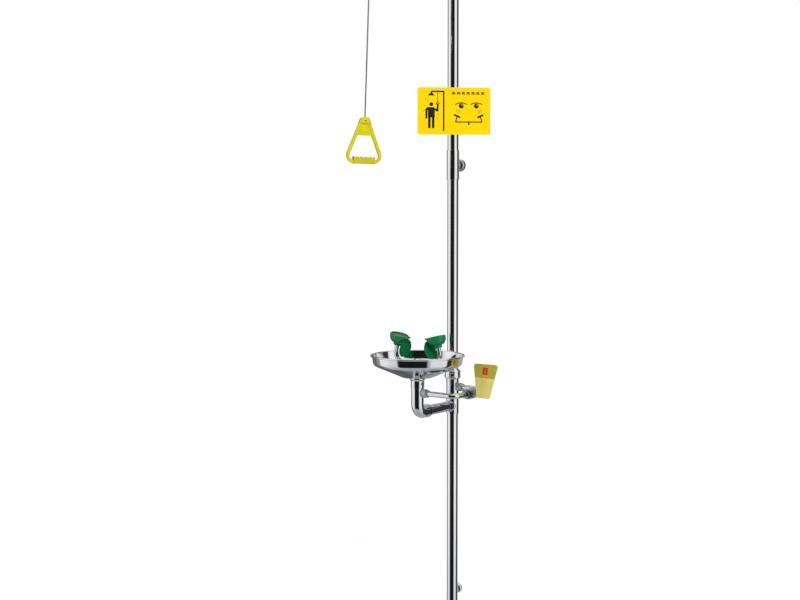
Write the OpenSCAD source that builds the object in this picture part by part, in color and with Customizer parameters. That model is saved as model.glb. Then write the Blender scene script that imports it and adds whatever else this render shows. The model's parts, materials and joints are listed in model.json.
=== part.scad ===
// Combination emergency shower and eyewash station, free standing on one column.
// Frame: origin on the floor at the column's axis, +Z up, -Y towards the user,
// so the shower arm and the eyewash bowl reach out along -Y. Millimetres.

/* [Column and shower arm tube] */
// Outside diameter of the column and of the shower arm
column_d = 38; // [32:0.5:45]
// Wall of the column and of the shower arm
column_wall = 1.5; // [1.2:0.1:3]
// Height of the shower arm's centre line above the floor
arm_z = 2255; // [2150:5:2450]
// Reach of the shower arm from the column's axis to the shower head's axis
arm_reach = 640; // [560:5:760]
// Centre line radius of the two elbows of the shower arm
elbow_r = 45; // [38:1:70]

/* [Fittings] */
// Wall of a fitting's sleeve around the tube
socket_wall = 2.5; // [2:0.1:5]
// How deep a tube sits in a fitting
socket_depth = 14; // [10:1:20]
// Length of the thread undercut behind an outside thread
undercut_l = 2; // [1:0.5:4]

/* [Floor flange] */
// Diameter of the floor flange
flange_d = 200; // [180:5:260]
// Thickness of the floor flange
flange_t = 8; // [5:1:14]
// Height of the flange's hub above its plate
flange_hub_h = 30; // [20:1:60]
// Diameter of the floor bolt circle
floor_circle_d = 160; // [140:1:164]
// Diameter of each floor bolt hole
floor_hole_d = 12; // [9:0.5:16]
// Number of floor bolt holes
floor_holes = 4; // [3:1:8]

/* [Water inlet and drain outlet] */
// Height of the water inlet's centre
inlet_z = 1600; // [1400:5:1640]
// Outside diameter of the inlet thread
inlet_d = 42.4; // [33:0.1:42.5]
// Bore of the inlet
inlet_bore = 34; // [26:0.5:35]
// Distance from the column's axis to the end of the inlet
inlet_reach = 49; // [42:1:70]
// Height of the inlet tee's sleeve
inlet_sleeve_h = 100; // [80:1:140]
// Height of the drain outlet's centre
outlet_z = 122; // [100:1:300]
// Outside diameter of the drain outlet thread
outlet_d = 34; // [26:0.1:34]
// Bore of the drain outlet
outlet_bore = 27; // [20:0.5:29]
// Distance from the column's axis to the end of the drain outlet
outlet_reach = 40; // [36:1:70]

/* [Bowl] */
// Distance from the column's axis forward to the bowl's axis
bowl_y = 203; // [190:1:260]
// Outside diameter over the bowl's rolled lip
bowl_d = 315; // [290:1:360]
// Height of the bowl's rim above the floor
rim_z = 964; // [930:1:1000]
// Depth of the bowl from its rim to its underside
bowl_h = 76; // [70:1:100]
// Height of the bowl's upright side
bowl_band = 26; // [18:1:34]
// Wall of the bowl
bowl_t = 1.2; // [1:0.1:2]
// Radius of the rolled lip
lip_r = 3.2; // [2.5:0.1:5]
// Diameter of the drain flange inside the bowl
drain_flange_d = 84; // [70:1:88]

/* [Drain] */
// Height of the horizontal drain arm
drain_z = 770; // [740:1:775]
// Outside diameter of the drain pipe under the bowl
drain_pipe_d = 42.4; // [38:0.1:46]
// Wall of the drain pipe
drain_wall = 2; // [1.5:0.1:3]
// Outside diameter of the horizontal drain arm
drain_arm_d = 33.7; // [28:0.1:34]
// Centre line radius of the drain elbow
drain_elbow_r = 30; // [28:1:36]
// Straight tail of the drain elbow
drain_tail = 25; // [20:1:34]

/* [Eyewash supply] */
// Height of the eyewash supply pipes
supply_z = 836; // [832:1:842]
// Outside diameter of the supply pipes
supply_d = 18; // [15:0.5:20]
// Wall of the supply pipes
supply_wall = 1.5; // [1:0.1:2]
// Distance from the column's axis sideways to the eyewash valve
supply_x = 150; // [130:1:190]
// Centre line radius of the bends in the supply pipes
supply_bend_r = 24; // [20:1:34]
// Outside thread of the two supply bosses
boss_d = 24; // [22:0.5:26]
// Length of each supply boss
boss_l = 13; // [11:0.5:18]
// Size of the supply nuts across their flats
supply_nut_af = 27; // [26:0.5:34]

/* [Spray arms and heads] */
// Height of the level part of the spray arms
arms_z = 935; // [926:1:945]
// Outside diameter of the spray arms
spray_arm_d = 16; // [12:0.5:18]
// Wall of the spray arms
spray_arm_wall = 1.5; // [1:0.1:2]
// Distance from the bowl's axis to the start of each spray arm's bend
spray_bend_x = 58; // [50:1:70]
// Centre line radius of the spray arms' bends
spray_bend_r = 32; // [24:1:40]
// Tilt of each spray head towards the bowl's middle
head_tilt = 15; // [5:1:25]
// Straight length between the bend and the spray head
head_straight = 16; // [8:1:24]
// Height of a spray head
head_h = 38.5; // [34:0.5:46]
// Diameter of a spray head's rim
head_d = 64; // [58:1:72]
// Diameter of a spray head's neck
neck_d = 28; // [24:1:32]
// Diameter of the spray face
face_d = 52; // [40:1:54]
// Depth of the spray face below the rim
face_depth = 5; // [4:0.5:9]

/* [Dust covers] */
// Diameter of a dust cover
cover_d = 62; // [58:1:64]
// Thickness of a dust cover
cover_t = 2.4; // [1.6:0.1:4]
// Turn of a dust cover from shut to its open rest
cover_open = 270; // [230:1:275]
// Diameter of the hinge pin
hinge_pin_d = 3; // [2:0.5:4]

/* [Eyewash valve] */
// Distance in front of the column's axis to the eyewash valve's stem
eye_valve_y = 113; // [105:1:120]
// Bore of the eyewash valve's ball
eye_bore = 11; // [8:0.5:12]
// Diameter of the eyewash valve's ball
eye_ball = 20; // [19:0.5:22]
// Barrel diameter of the eyewash valve
eye_barrel = 35; // [34:0.5:38]
// Half length of the eyewash valve
eye_half = 31; // [29:1:36]
// Hexagon of the eyewash valve's ends across the flats
eye_hex = 27; // [27:0.5:30]
// Stem diameter of the eyewash valve
eye_stem = 7; // [6:0.5:8]

/* [Push paddle] */
// Width of the paddle at its top
paddle_top_w = 96; // [80:1:98]
// Width of the paddle at its foot
paddle_foot_w = 50; // [40:1:60]
// Height of the paddle
paddle_h = 112; // [90:1:130]
// Thickness of the paddle
paddle_t = 2; // [1.5:0.1:4]
// Lean of the paddle away from the user
paddle_lean = 9; // [0:1:12]
// Sideways distance from the valve's centre to the paddle's middle
paddle_x = 62; // [60:1:72]

/* [Shower valve] */
// Distance in front of the column's axis to the shower valve's stem
shower_valve_y = 230; // [210:1:260]
// Bore of the shower valve's ball
shower_bore = 30; // [24:0.5:32]
// Diameter of the shower valve's ball
shower_ball_d = 44; // [43:0.5:47]
// Barrel diameter of the shower valve
shower_barrel = 60; // [59:0.5:66]
// Half length of the shower valve
shower_half = 48; // [46:1:56]
// Hexagon of the shower valve's ends across the flats
shower_hex = 50; // [49:0.5:56]
// Stem diameter of the shower valve
shower_stem_d = 12; // [10:0.5:14]

/* [Shower lever, pull rod and handle] */
// Length of the shower lever from its stem to its eye
lever_l = 184; // [160:1:210]
// Rise of the shower lever above level at rest
lever_rise = 15; // [0:1:30]
// Thickness of the shower lever
lever_t = 5; // [4:0.5:7]
// Diameter of the pull rod
rod_d = 5; // [4:0.5:6.5]
// Sideways lean of the hanging rod
rod_lean = 2.46; // [1:0.02:4]
// Height of the top of the pull handle above the floor
handle_top_z = 1737; // [1600:1:1800]
// Height of the pull handle
handle_h = 148; // [130:1:170]
// Width of the pull handle across its top
handle_top_w = 26; // [24:1:32]
// Flare of each side of the pull handle away from its axis
handle_flare = 21.5; // [18:0.5:24]
// Width of the pull handle's bars
handle_bar = 11; // [8:0.5:12]
// Depth of the pull handle front to back
handle_t = 12; // [11:0.5:15]
// Length of the solid web below the handle's top
handle_web = 57; // [45:1:65]
// Direction that the handle faces, turned from -Y towards +X
handle_az = 57; // [0:1:90]
// Length of the finger grip
grip_l = 72; // [60:1:76]
// Height of the finger grip
grip_h = 24; // [22:0.5:28]
// Depth of the finger grip front to back
grip_t = 22; // [18:0.5:26]

/* [Shower head] */
// Diameter of the shower head
shower_head_d = 250; // [200:1:300]
// Height of the shower head's bell
bell_h = 62; // [50:1:80]
// Wall of the shower head
bell_t = 1.4; // [1:0.1:2.5]
// Outside diameter of the spigot that carries the shower head
spigot_d = 34; // [28:0.5:36]
// Length of that spigot
spigot_l = 22; // [18:1:30]

/* [Sign] */
// Width of the sign
sign_w = 250; // [200:1:300]
// Height of the sign
sign_h = 160; // [130:1:200]
// Thickness of the sign
sign_t = 1.5; // [1:0.1:3]
// Height of the sign's middle above the floor
sign_z = 1782; // [1760:1:1900]
// Direction that the sign faces, turned from -Y towards +X
sign_az = 42; // [0:1:60]
// Distance from the column's axis to the back of the sign
sign_gap = 26; // [25:0.5:40]

/* [Clearances] */
// Radial clearance between fixed pieces that fit one in the other
fit = 0.1; // [0.05:0.01:0.2]
// Radial clearance of a turning pin or stem in its bore
run_fit = 0.05; // [0.02:0.01:0.09]
// Gap between faces that pass each other
gap = 0.4; // [0.3:0.05:0.8]

/* [Hidden] */
$fn = 72;
steel = [0.80, 0.81, 0.82];
dark_steel = [0.45, 0.46, 0.48];
green = [0.0, 0.42, 0.24];
yellow = [0.86, 0.80, 0.05];
sign_yellow = [0.98, 0.83, 0.0];
white_seat = [0.93, 0.93, 0.90];
black_rubber = [0.08, 0.08, 0.08];
brass_face = [0.72, 0.60, 0.28];

column_bore = column_d - 2 * column_wall;
sleeve_d = column_d + 2 * socket_wall;
drain_pipe_bore = drain_pipe_d - 2 * drain_wall;
drain_arm_bore = drain_arm_d - 2 * drain_wall;
sep = 0.01;
lap = 0.5;

// drain and supply tees
drain_tee_half = 28;
drain_branch_end = 36;
supply_tee_half = 26;
stop_t = 6;

// union above the supply tee
union_z = supply_z + 44;
union_half = 14;
union_d = sleeve_d + 13;
union_neck_d = sleeve_d + 3;
union_collar_d = sleeve_d + 5;
union_collar_t = 4;
gasket_t = 2;

// joints of the bowl, from the bowl's underside down
bowl_foot_z = rim_z - bowl_h;
sleeve_foot_z = bowl_foot_z - gasket_t - 34;
pipe_top_z = sleeve_foot_z + 10;
tail_d = drain_pipe_bore - 0.6;
tail_wall = 2.4;
bowl_sleeve_d = drain_pipe_d + 3;
riser_d = 14;
riser_wall = 1.5;
riser_bend_r = 12;
block_d = 26;
block_h = 32;
block_boss = 20;

// supply bosses and their nuts
nut_grip = 11;
nut_collar = 12;
tee_boss_end = sleeve_d / 2 + boss_l;
pipe_boss_end = drain_pipe_d / 2 + boss_l;

// where a spray arm ends, and the centre of the right spray head's rim
arm_end = [spray_bend_x + spray_bend_r * cos(head_tilt),
           arms_z + spray_bend_r + spray_bend_r * sin(head_tilt)];
head_in = 12;
rim_up = head_straight + head_h;
rim_x = arm_end[0] - rim_up * sin(head_tilt);
rim_up_z = arm_end[1] + rim_up * cos(head_tilt);
face_t = 2;
recess_r = cover_d / 2 - 2.5;
hinge_x = -(head_d / 2 + 5);
hinge_drop = 1;
knuckle_r = 3.4;
knuckle_w = 11;
ear_w = 3.5;

// the shower valve is the eyewash valve's shape at a larger size
gland_t = 8;
gland_t_small = 6;
lever_face_x = shower_barrel / 2 + 6 + gland_t + gap;
lever_mid_x = -(lever_face_x + lever_t / 2);
eye_y = -shower_valve_y - lever_l * cos(lever_rise);
eye_z = arm_z + lever_l * sin(lever_rise);

// the rod starts with a bent pin through the lever's eye, then hangs at its lean
rod_bend_r = 8;
rod_bend_x = -(lever_face_x - 3);
rod_top = [rod_bend_x + rod_bend_r * cos(rod_lean), eye_z - rod_bend_r - rod_bend_r * sin(rod_lean)];
rod_in_handle = 20;
rod_l = (rod_top[1] - handle_top_z) / cos(rod_lean) + rod_in_handle;
handle_x = rod_top[0] - (rod_top[1] - handle_top_z) * tan(rod_lean);
handle_pin_drop = 11;
handle_pin_d = 2.5;
handle_pin_sink = 2;
grip_bar_h = 12;
handle_cap_h = 19.5;
handle_cap_t = handle_t + 8;
web_sink = 2.5;

// the shower head's rim height
spigot_end_z = arm_z - elbow_r - spigot_l;
hub_d = spigot_d + 12;
hub_lap = 18;
bell_top_z = spigot_end_z - 8;
bell_foot_z = bell_top_z - bell_h;
plate_up = 8;
plate_t = 1.5;
post_r = 70;
post_d = 9;

// ---------------------------------------------------------------- helpers

function unit(v) = v / norm(v);
function arc(c, r, a0, a1, n = 8) =
    [for (i = [0:n]) let (a = a0 + (a1 - a0) * i / n) [c[0] + r * cos(a), c[1] + r * sin(a)]];

// One corner p of an outline, rounded with radius r between its neighbours a and b
function corner(a, p, b, r, n = 8) =
    let (u = unit(a - p), v = unit(b - p), half = acos(u * v) / 2, d = r / tan(half),
         c = p + unit(u + v) * r / sin(half), s = p + u * d - c, e = p + v * d - c,
         a0 = atan2(s[1], s[0]), raw = atan2(e[1], e[0]) - a0,
         turn = raw > 180 ? raw - 360 : raw < -180 ? raw + 360 : raw)
    arc(c, r, a0, a0 + turn, n);
function rounded(pts, radii) =
    let (m = len(pts))
    [for (i = [0:m - 1]) each corner(pts[(i + m - 1) % m], pts[i], pts[(i + 1) % m], radii[i])];

// A sheet of thickness t on both sides of a path of points
function side_point(p, i, t) =
    let (a = p[max(i - 1, 0)], b = p[min(i + 1, len(p) - 1)], d = unit(b - a))
    p[i] + [-d[1], d[0]] * t / 2;
function wall_outline(p, t) =
    concat([for (i = [0:len(p) - 1]) side_point(p, i, t)],
           [for (i = [len(p) - 1:-1:0]) side_point(p, i, -t)]);

module tube(d, bore, h) {
    difference() {
        cylinder(d = d, h = h);
        translate([0, 0, -1]) cylinder(d = bore, h = h + 2);
    }
}

module hexagon(af, h) {
    cylinder(d = af / cos(30), h = h, $fn = 6);
}

// A quarter bend, or another angle, of a tube: it starts at the origin and heads along +Z,
// then turns towards +X
module tube_bend(d, bore, r, angle = 90) {
    translate([r, 0, 0]) rotate([90, 0, 0]) mirror([1, 0, 0])
        rotate_extrude(angle = angle) translate([r, 0]) difference() {
            circle(d = d);
            circle(d = bore);
        }
}

// Places what is drawn along +Z at the far end of such a bend
module after_bend(r, angle) {
    translate([r, 0, 0]) rotate([0, angle, 0]) translate([-r, 0, 0]) children();
}

// Places what is drawn along +Z so that it runs forward, back or right
module forward() { rotate([90, 0, 0]) children(); }
module backward() { rotate([-90, 0, 0]) children(); }
module rightward() { rotate([0, 90, 0]) children(); }

module at_bowl(z = 0) { translate([0, -bowl_y, z]) children(); }

// ---------------------------------------------------------------- column

module base_flange() {
    color(steel) difference() {
        union() {
            cylinder(d = flange_d, h = flange_t);
            cylinder(d = sleeve_d + 6, h = flange_t + flange_hub_h);
            translate([0, 0, flange_t]) cylinder(d1 = sleeve_d + 22, d2 = sleeve_d + 6, h = 8);
        }
        translate([0, 0, flange_t]) cylinder(d = column_d + 2 * fit, h = flange_hub_h + 1);
        for (i = [0:floor_holes - 1])
            rotate([0, 0, 45 + i * 360 / floor_holes])
                translate([floor_circle_d / 2, 0, -1]) cylinder(d = floor_hole_d, h = flange_t + 2);
    }
}

// An outside thread's blank that points along +Z, with its shoulder and undercut
module threaded_stub(d, shoulder, reach) {
    union() {
        cylinder(d = d, h = shoulder);
        cylinder(d = d - 3, h = shoulder + undercut_l);
        translate([0, 0, shoulder + undercut_l]) cylinder(d = d, h = reach - shoulder - undercut_l);
    }
}

module lower_column() {
    foot = flange_t;
    head = drain_z - drain_tee_half + socket_depth;
    color(steel) difference() {
        union() {
            translate([0, 0, foot]) cylinder(d = column_d, h = head - foot);
            translate([0, 0, outlet_z]) backward()
                threaded_stub(outlet_d, column_d / 2 + 3, outlet_reach);
        }
        translate([0, 0, foot - 1]) cylinder(d = column_bore, h = head - foot + 2);
        translate([0, 0, outlet_z]) backward() cylinder(d = outlet_bore, h = outlet_reach + 1);
    }
}

// A sleeve with a socket for the column at each end
module sleeve_outside(z, half) {
    translate([0, 0, z - half]) cylinder(d = sleeve_d, h = 2 * half);
}
module sleeve_inside(z, half) {
    translate([0, 0, z - half - 1]) cylinder(d = column_bore, h = 2 * half + 2);
    translate([0, 0, z - half - 1]) cylinder(d = column_d + 2 * fit, h = socket_depth + 1);
    translate([0, 0, z + half - socket_depth]) cylinder(d = column_d + 2 * fit, h = socket_depth + 1);
}

module drain_tee() {
    color(steel) difference() {
        union() {
            sleeve_outside(drain_z, drain_tee_half);
            translate([0, 0, drain_z]) forward()
                cylinder(d = drain_arm_d + 2 * socket_wall, h = drain_branch_end);
        }
        sleeve_inside(drain_z, drain_tee_half);
        translate([0, 0, drain_z]) forward() {
            cylinder(d = drain_arm_bore, h = drain_branch_end + 1);
            translate([0, 0, drain_branch_end - socket_depth + 2])
                cylinder(d = drain_arm_d + 2 * fit, h = socket_depth);
        }
    }
}

module column_spool() {
    foot = drain_z + drain_tee_half - socket_depth;
    color(steel) translate([0, 0, foot])
        tube(column_d, column_bore, supply_z - supply_tee_half + socket_depth - foot);
}

// Blank that keeps the supply water out of the drain side of the column
module column_stop() {
    color(dark_steel)
        translate([0, 0, (drain_z + drain_tee_half + supply_z - supply_tee_half - stop_t) / 2])
            cylinder(d = column_bore - 2 * fit, h = stop_t);
}

module supply_tee() {
    foot = supply_z - supply_tee_half;
    neck_top = union_z - gasket_t / 2;
    color(steel) difference() {
        union() {
            sleeve_outside(supply_z, supply_tee_half);
            translate([0, 0, supply_z + supply_tee_half])
                cylinder(d = union_neck_d, h = neck_top - supply_z - supply_tee_half);
            translate([0, 0, supply_z]) rightward() cylinder(d = boss_d, h = tee_boss_end);
        }
        translate([0, 0, foot - 1]) cylinder(d = column_bore, h = neck_top - foot + 2);
        translate([0, 0, foot - 1]) cylinder(d = column_d + 2 * fit, h = socket_depth + 1);
        translate([0, 0, supply_z]) rightward()
            cylinder(d = supply_d - 2 * supply_wall, h = tee_boss_end + 1);
    }
}

module union_nut() {
    lip_z = union_z + gasket_t / 2 + union_collar_t;
    color(steel) difference() {
        union() {
            translate([0, 0, union_z - union_half + 2]) cylinder(d = union_d, h = 2 * union_half - 4);
            translate([0, 0, union_z - union_half]) cylinder(d1 = union_d - 4, d2 = union_d, h = 2);
            translate([0, 0, union_z + union_half - 2]) cylinder(d1 = union_d, d2 = union_d - 4, h = 2);
        }
        translate([0, 0, union_z - union_half - 1]) cylinder(d = union_neck_d + 2 * fit, h = union_half + 1);
        translate([0, 0, union_z - 1])
            cylinder(d = union_collar_d + 2 * fit, h = lip_z - union_z + 1);
        translate([0, 0, union_z]) cylinder(d = sleeve_d + 2 * fit, h = union_half + 1);
    }
}

module mid_column() {
    foot = union_z + gasket_t / 2;
    head = inlet_z - inlet_sleeve_h / 2 + socket_depth;
    color(steel) difference() {
        union() {
            translate([0, 0, foot]) cylinder(d = column_d, h = head - foot);
            translate([0, 0, foot]) cylinder(d = sleeve_d, h = union_half + 4);
            translate([0, 0, foot]) cylinder(d = union_collar_d, h = union_collar_t);
        }
        translate([0, 0, foot - 1]) cylinder(d = column_bore, h = head - foot + 2);
    }
}

module inlet_tee() {
    color(steel) difference() {
        union() {
            sleeve_outside(inlet_z, inlet_sleeve_h / 2);
            translate([0, 0, inlet_z]) backward()
                threaded_stub(inlet_d, sleeve_d / 2 + 3, inlet_reach);
        }
        sleeve_inside(inlet_z, inlet_sleeve_h / 2);
        translate([0, 0, inlet_z]) backward() cylinder(d = inlet_bore, h = inlet_reach + 1);
    }
}

module upper_column() {
    foot = inlet_z + inlet_sleeve_h / 2 - socket_depth;
    color(steel) translate([0, 0, foot]) tube(column_d, column_bore, arm_z - elbow_r - foot);
}

// Elbow from a vertical socket at its foot to a level socket that faces forward
module top_elbow() {
    color(steel) {
        translate([0, 0, arm_z - elbow_r]) {
            rotate([0, 0, -90]) tube_bend(sleeve_d, column_bore, elbow_r);
            translate([0, 0, -socket_depth]) tube(sleeve_d, column_d + 2 * fit, socket_depth);
        }
        translate([0, -elbow_r, arm_z]) forward() tube(sleeve_d, column_d + 2 * fit, socket_depth);
    }
}

module arm_rear() {
    front = shower_valve_y - shower_half + valve_socket(shower_half, shower_ball_d);
    color(steel) translate([0, -elbow_r, arm_z]) forward()
        tube(column_d, column_bore, front - elbow_r);
}

module arm_front() {
    back = shower_valve_y + shower_half - valve_socket(shower_half, shower_ball_d);
    color(steel) translate([0, -back, arm_z]) forward()
        tube(column_d, column_bore, arm_reach - elbow_r - back);
}

module drop_elbow() {
    color(steel) translate([0, -arm_reach, 0]) {
        translate([0, elbow_r, arm_z]) backward() tube(sleeve_d, column_d + 2 * fit, socket_depth);
        translate([0, 0, arm_z - elbow_r]) rotate([0, 0, 90]) tube_bend(sleeve_d, column_bore, elbow_r);
        translate([0, 0, spigot_end_z]) tube(spigot_d, spigot_d - 6, spigot_l);
        translate([0, 0, arm_z - elbow_r - 2]) tube(sleeve_d, spigot_d - 6, 2);
    }
}

// ---------------------------------------------------------------- shower head

bell_rim_r = shower_head_d / 2 - bell_t / 2;
bell_path = concat(
    [for (i = [0:14]) let (a = i * 90 / 14)
        [hub_d / 2 - 6 + (bell_rim_r - hub_d / 2 + 6) * sin(a), plate_up + (bell_h - plate_up) * cos(a)]],
    [[bell_rim_r, 0]]);

module shower_head() {
    color(steel) translate([0, -arm_reach, bell_foot_z]) {
        difference() {
            union() {
                rotate_extrude() polygon(wall_outline(bell_path, bell_t));
                translate([0, 0, bell_h - 4]) cylinder(d = hub_d, h = 12 + hub_lap);
            }
            translate([0, 0, bell_h - 5]) cylinder(d = spigot_d - 6, h = 40);
            translate([0, 0, spigot_end_z - bell_foot_z]) cylinder(d = spigot_d + 2 * fit, h = 40);
        }
    }
}

// Length of a post from the spray plate up to just below the bell's wall, at its outer side
function post_l() =
    let (s = (post_r + post_d / 2 - hub_d / 2 + 6) / (bell_rim_r - hub_d / 2 + 6))
    (bell_h - plate_up) * sqrt(1 - s * s) - plate_t - bell_t / 2 - 0.4;

module plate_posts() {
    color(steel) translate([0, -arm_reach, bell_foot_z + plate_up + plate_t])
        for (i = [0:2]) rotate([0, 0, 90 + i * 120]) translate([post_r, 0, 0])
            tube(post_d, 4 + 2 * fit, post_l());
}

module spray_plate() {
    color(dark_steel) translate([0, -arm_reach, bell_foot_z + plate_up]) difference() {
        cylinder(d = shower_head_d - 2 * bell_t - 1, h = plate_t);
        for (ring = [1:4]) for (i = [0:6 * ring - 1])
            rotate([0, 0, (i + 0.5) * 60 / ring]) translate([ring * 26, 0, -1]) cylinder(d = 4, h = 4);
        for (i = [0:2]) rotate([0, 0, 90 + i * 120])
            translate([post_r, 0, -1]) cylinder(d = 4 + 2 * fit, h = 4);
    }
}

module plate_screws() {
    color(steel) translate([0, -arm_reach, bell_foot_z + plate_up])
        for (i = [0:2]) rotate([0, 0, 90 + i * 120]) translate([post_r, 0, 0]) {
            translate([0, 0, -2.5]) cylinder(d = 8, h = 2.5);
            cylinder(d = 4, h = 14);
        }
}

// ---------------------------------------------------------------- ball valves

// The valves are drawn with their flow along Y, their stem along +X and their centre at the
// origin. Their sizes come as: ball, bore, barrel, half length, hexagon, tube and stem.
module valve_frame_shower() { translate([0, -shower_valve_y, arm_z]) rotate([0, 0, 180]) children(); }
module valve_frame_eyewash() { translate([supply_x, -eye_valve_y, supply_z]) children(); }

function cavity_d(ball) = ball + 1.2;
function seat_end(ball) = ball / 2 + 1;
function barrel_half(ball) = seat_end(ball) + round(ball / 6) + 3;

module valve_body(ball, bore, barrel, half, hex, tube_d, stem, boss, boss_w) {
    difference() {
        union() {
            translate([0, barrel_half(ball), 0]) forward() cylinder(d = barrel, h = 2 * barrel_half(ball));
            translate([0, -barrel_half(ball), 0]) forward()
                hexagon(hex, half - barrel_half(ball));
            rightward() cylinder(d = boss_w, h = barrel / 2 + boss);
        }
        translate([0, barrel_half(ball) + 1, 0]) forward()
            cylinder(d = cavity_d(ball), h = barrel_half(ball) + 1 + seat_end(ball));
        forward() cylinder(d = bore, h = half + 1);
        translate([0, -half + valve_socket(half, ball), 0]) forward()
            cylinder(d = tube_d + 2 * fit, h = valve_socket(half, ball) + 1);
        rightward() cylinder(d = stem + 2 * run_fit, h = barrel);
    }
}

// A tube goes this deep into a valve's end
function valve_socket(half, ball) = min(socket_depth, half - barrel_half(ball) - 1);

module valve_end(ball, bore, half, hex, tube_d) {
    plug_l = barrel_half(ball) - seat_end(ball);
    difference() {
        union() {
            translate([0, barrel_half(ball), 0]) forward() cylinder(d = cavity_d(ball) - 2 * fit, h = plug_l);
            translate([0, half, 0]) forward() hexagon(hex, half - barrel_half(ball));
        }
        translate([0, half + 1, 0]) forward() cylinder(d = bore, h = half + 1);
        translate([0, half + 1, 0]) forward()
            cylinder(d = tube_d + 2 * fit, h = valve_socket(half, ball) + 1);
    }
}

module valve_seat_pair(ball, bore) {
    for (s = [0, 1]) mirror([0, s, 0]) difference() {
        translate([0, seat_end(ball), 0]) forward()
            tube(cavity_d(ball) - 2 * fit, bore, seat_end(ball) - ball * 0.3);
        sphere(d = ball + 2 * gap * 0.5);
    }
}

module valve_ball(ball, bore, stem) {
    difference() {
        sphere(d = ball);
        cylinder(d = bore, h = ball + 2, center = true);
        translate([ball * 0.39 + ball / 2, 0, 0]) cube([ball, stem * 0.42 + 2 * fit, stem + 2], center = true);
    }
}

module valve_stem(ball, stem, length) {
    start = ball / 2 + gap;
    tang = ball * 0.39 + fit;
    union() {
        translate([start, 0, 0]) rightward() cylinder(d = stem, h = length - start);
        intersection() {
            translate([tang, -stem * 0.21, -stem / 2]) cube([start - tang + 0.5, stem * 0.42, stem]);
            rightward() cylinder(d = stem, h = ball);
        }
    }
}

module gland_nut(x, stem, af, t) {
    translate([x, 0, 0]) rightward() difference() {
        hexagon(af, t);
        translate([0, 0, -1]) cylinder(d = stem + 2 * run_fit, h = t + 2);
    }
}

module shower_valve_body() {
    color(steel) valve_frame_shower()
        valve_body(shower_ball_d, shower_bore, shower_barrel, shower_half, shower_hex,
                   column_d, shower_stem_d, 6, shower_stem_d + 14);
}

module eyewash_valve_body() {
    color(steel) valve_frame_eyewash()
        valve_body(eye_ball, eye_bore, eye_barrel, eye_half, eye_hex, supply_d, eye_stem, 4, eye_stem + 9);
}

module valve_ends() {
    color(steel) {
        valve_frame_shower() valve_end(shower_ball_d, shower_bore, shower_half, shower_hex, column_d);
        valve_frame_eyewash() valve_end(eye_ball, eye_bore, eye_half, eye_hex, supply_d);
    }
}

module valve_seats() {
    color(white_seat) {
        valve_frame_shower() valve_seat_pair(shower_ball_d, shower_bore);
        valve_frame_eyewash() valve_seat_pair(eye_ball, eye_bore);
    }
}

module gland_nuts() {
    color(steel) {
        valve_frame_shower() gland_nut(shower_barrel / 2 + 6, shower_stem_d, shower_stem_d + 10, gland_t);
        valve_frame_eyewash() gland_nut(eye_barrel / 2 + 4, eye_stem, eye_stem + 7, gland_t_small);
    }
}

// ---------------------------------------------------------------- shower lever and pull rod

shower_stem_l = lever_face_x + lever_t + 9;

module shower_stem() {
    color(steel) valve_frame_shower() valve_stem(shower_ball_d, shower_stem_d, shower_stem_l);
}

module shower_ball() {
    color(steel) valve_frame_shower() valve_ball(shower_ball_d, shower_bore, shower_stem_d);
}

module shower_lever() {
    hub_r = 15;
    eye_r = 10;
    bar_w = 18;
    color(steel) translate([lever_mid_x, -shower_valve_y, arm_z]) rotate([-lever_rise, 0, 0])
        difference() {
            union() {
                rotate([0, 90, 0]) cylinder(r = hub_r, h = lever_t, center = true);
                translate([0, -lever_l, 0]) rotate([0, 90, 0]) cylinder(r = eye_r, h = lever_t, center = true);
                translate([0, -lever_l / 2, 0]) cube([lever_t, lever_l, bar_w], center = true);
            }
            rotate([0, 90, 0]) cylinder(d = shower_stem_d + 2 * fit, h = lever_t + 2, center = true);
            translate([0, -lever_l, 0]) rotate([0, 90, 0])
                cylinder(d = rod_d + 2 * run_fit, h = lever_t + 2, center = true);
        }
}

module lever_nut() {
    color(steel) translate([-lever_face_x - lever_t, -shower_valve_y, arm_z]) rotate([0, -90, 0])
        difference() {
            hexagon(shower_stem_d + 7, 7);
            translate([0, 0, -1]) cylinder(d = shower_stem_d + 2 * fit, h = 9);
        }
}

// The rod's bent pin goes through the lever's eye, between a riveted head and a collar
module pull_rod() {
    pin_end = lever_face_x + lever_t + 3;
    color(dark_steel) difference() {
        translate([0, eye_y, 0]) union() {
            translate([-pin_end, 0, eye_z]) rightward() cylinder(d = rod_d, h = pin_end + rod_bend_x);
            translate([-pin_end, 0, eye_z]) rightward() cylinder(d = rod_d + 5, h = 2);
            translate([rod_bend_x - 1.5, 0, eye_z]) rightward() cylinder(d = rod_d + 4, h = 3);
            translate([rod_top[0], 0, rod_top[1]]) rotate([0, rod_lean, 0]) {
                translate([0, 0, -rod_l]) cylinder(d = rod_d, h = rod_l);
                translate([-rod_bend_r, 0, 0]) rotate([90, 0, 0])
                    rotate_extrude(angle = 90 + rod_lean) translate([rod_bend_r, 0]) circle(d = rod_d);
            }
        }
        handle_frame() translate([0, 0, -handle_pin_drop]) rotate([90, 0, 0])
            cylinder(d = handle_pin_d + 2 * fit, h = handle_cap_t, center = true);
    }
}

// The handle's own frame has its origin at the middle of the handle's top, local -Y to its face
module handle_frame() {
    translate([handle_x, eye_y, handle_top_z]) rotate([0, rod_lean, 0]) rotate([0, 0, handle_az]) children();
}

function handle_half(d) = handle_top_w / 2 + d * tan(handle_flare);
bar_across = handle_bar / cos(handle_flare);
handle_foot = handle_h - 1;
opening_foot = handle_foot - grip_bar_h;

module handle_outline() {
    polygon(rounded([[-handle_half(0), 0], [-handle_half(handle_foot), -handle_foot],
                     [handle_half(handle_foot), -handle_foot], [handle_half(0), 0]], [9, 26, 26, 9]));
}

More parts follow.
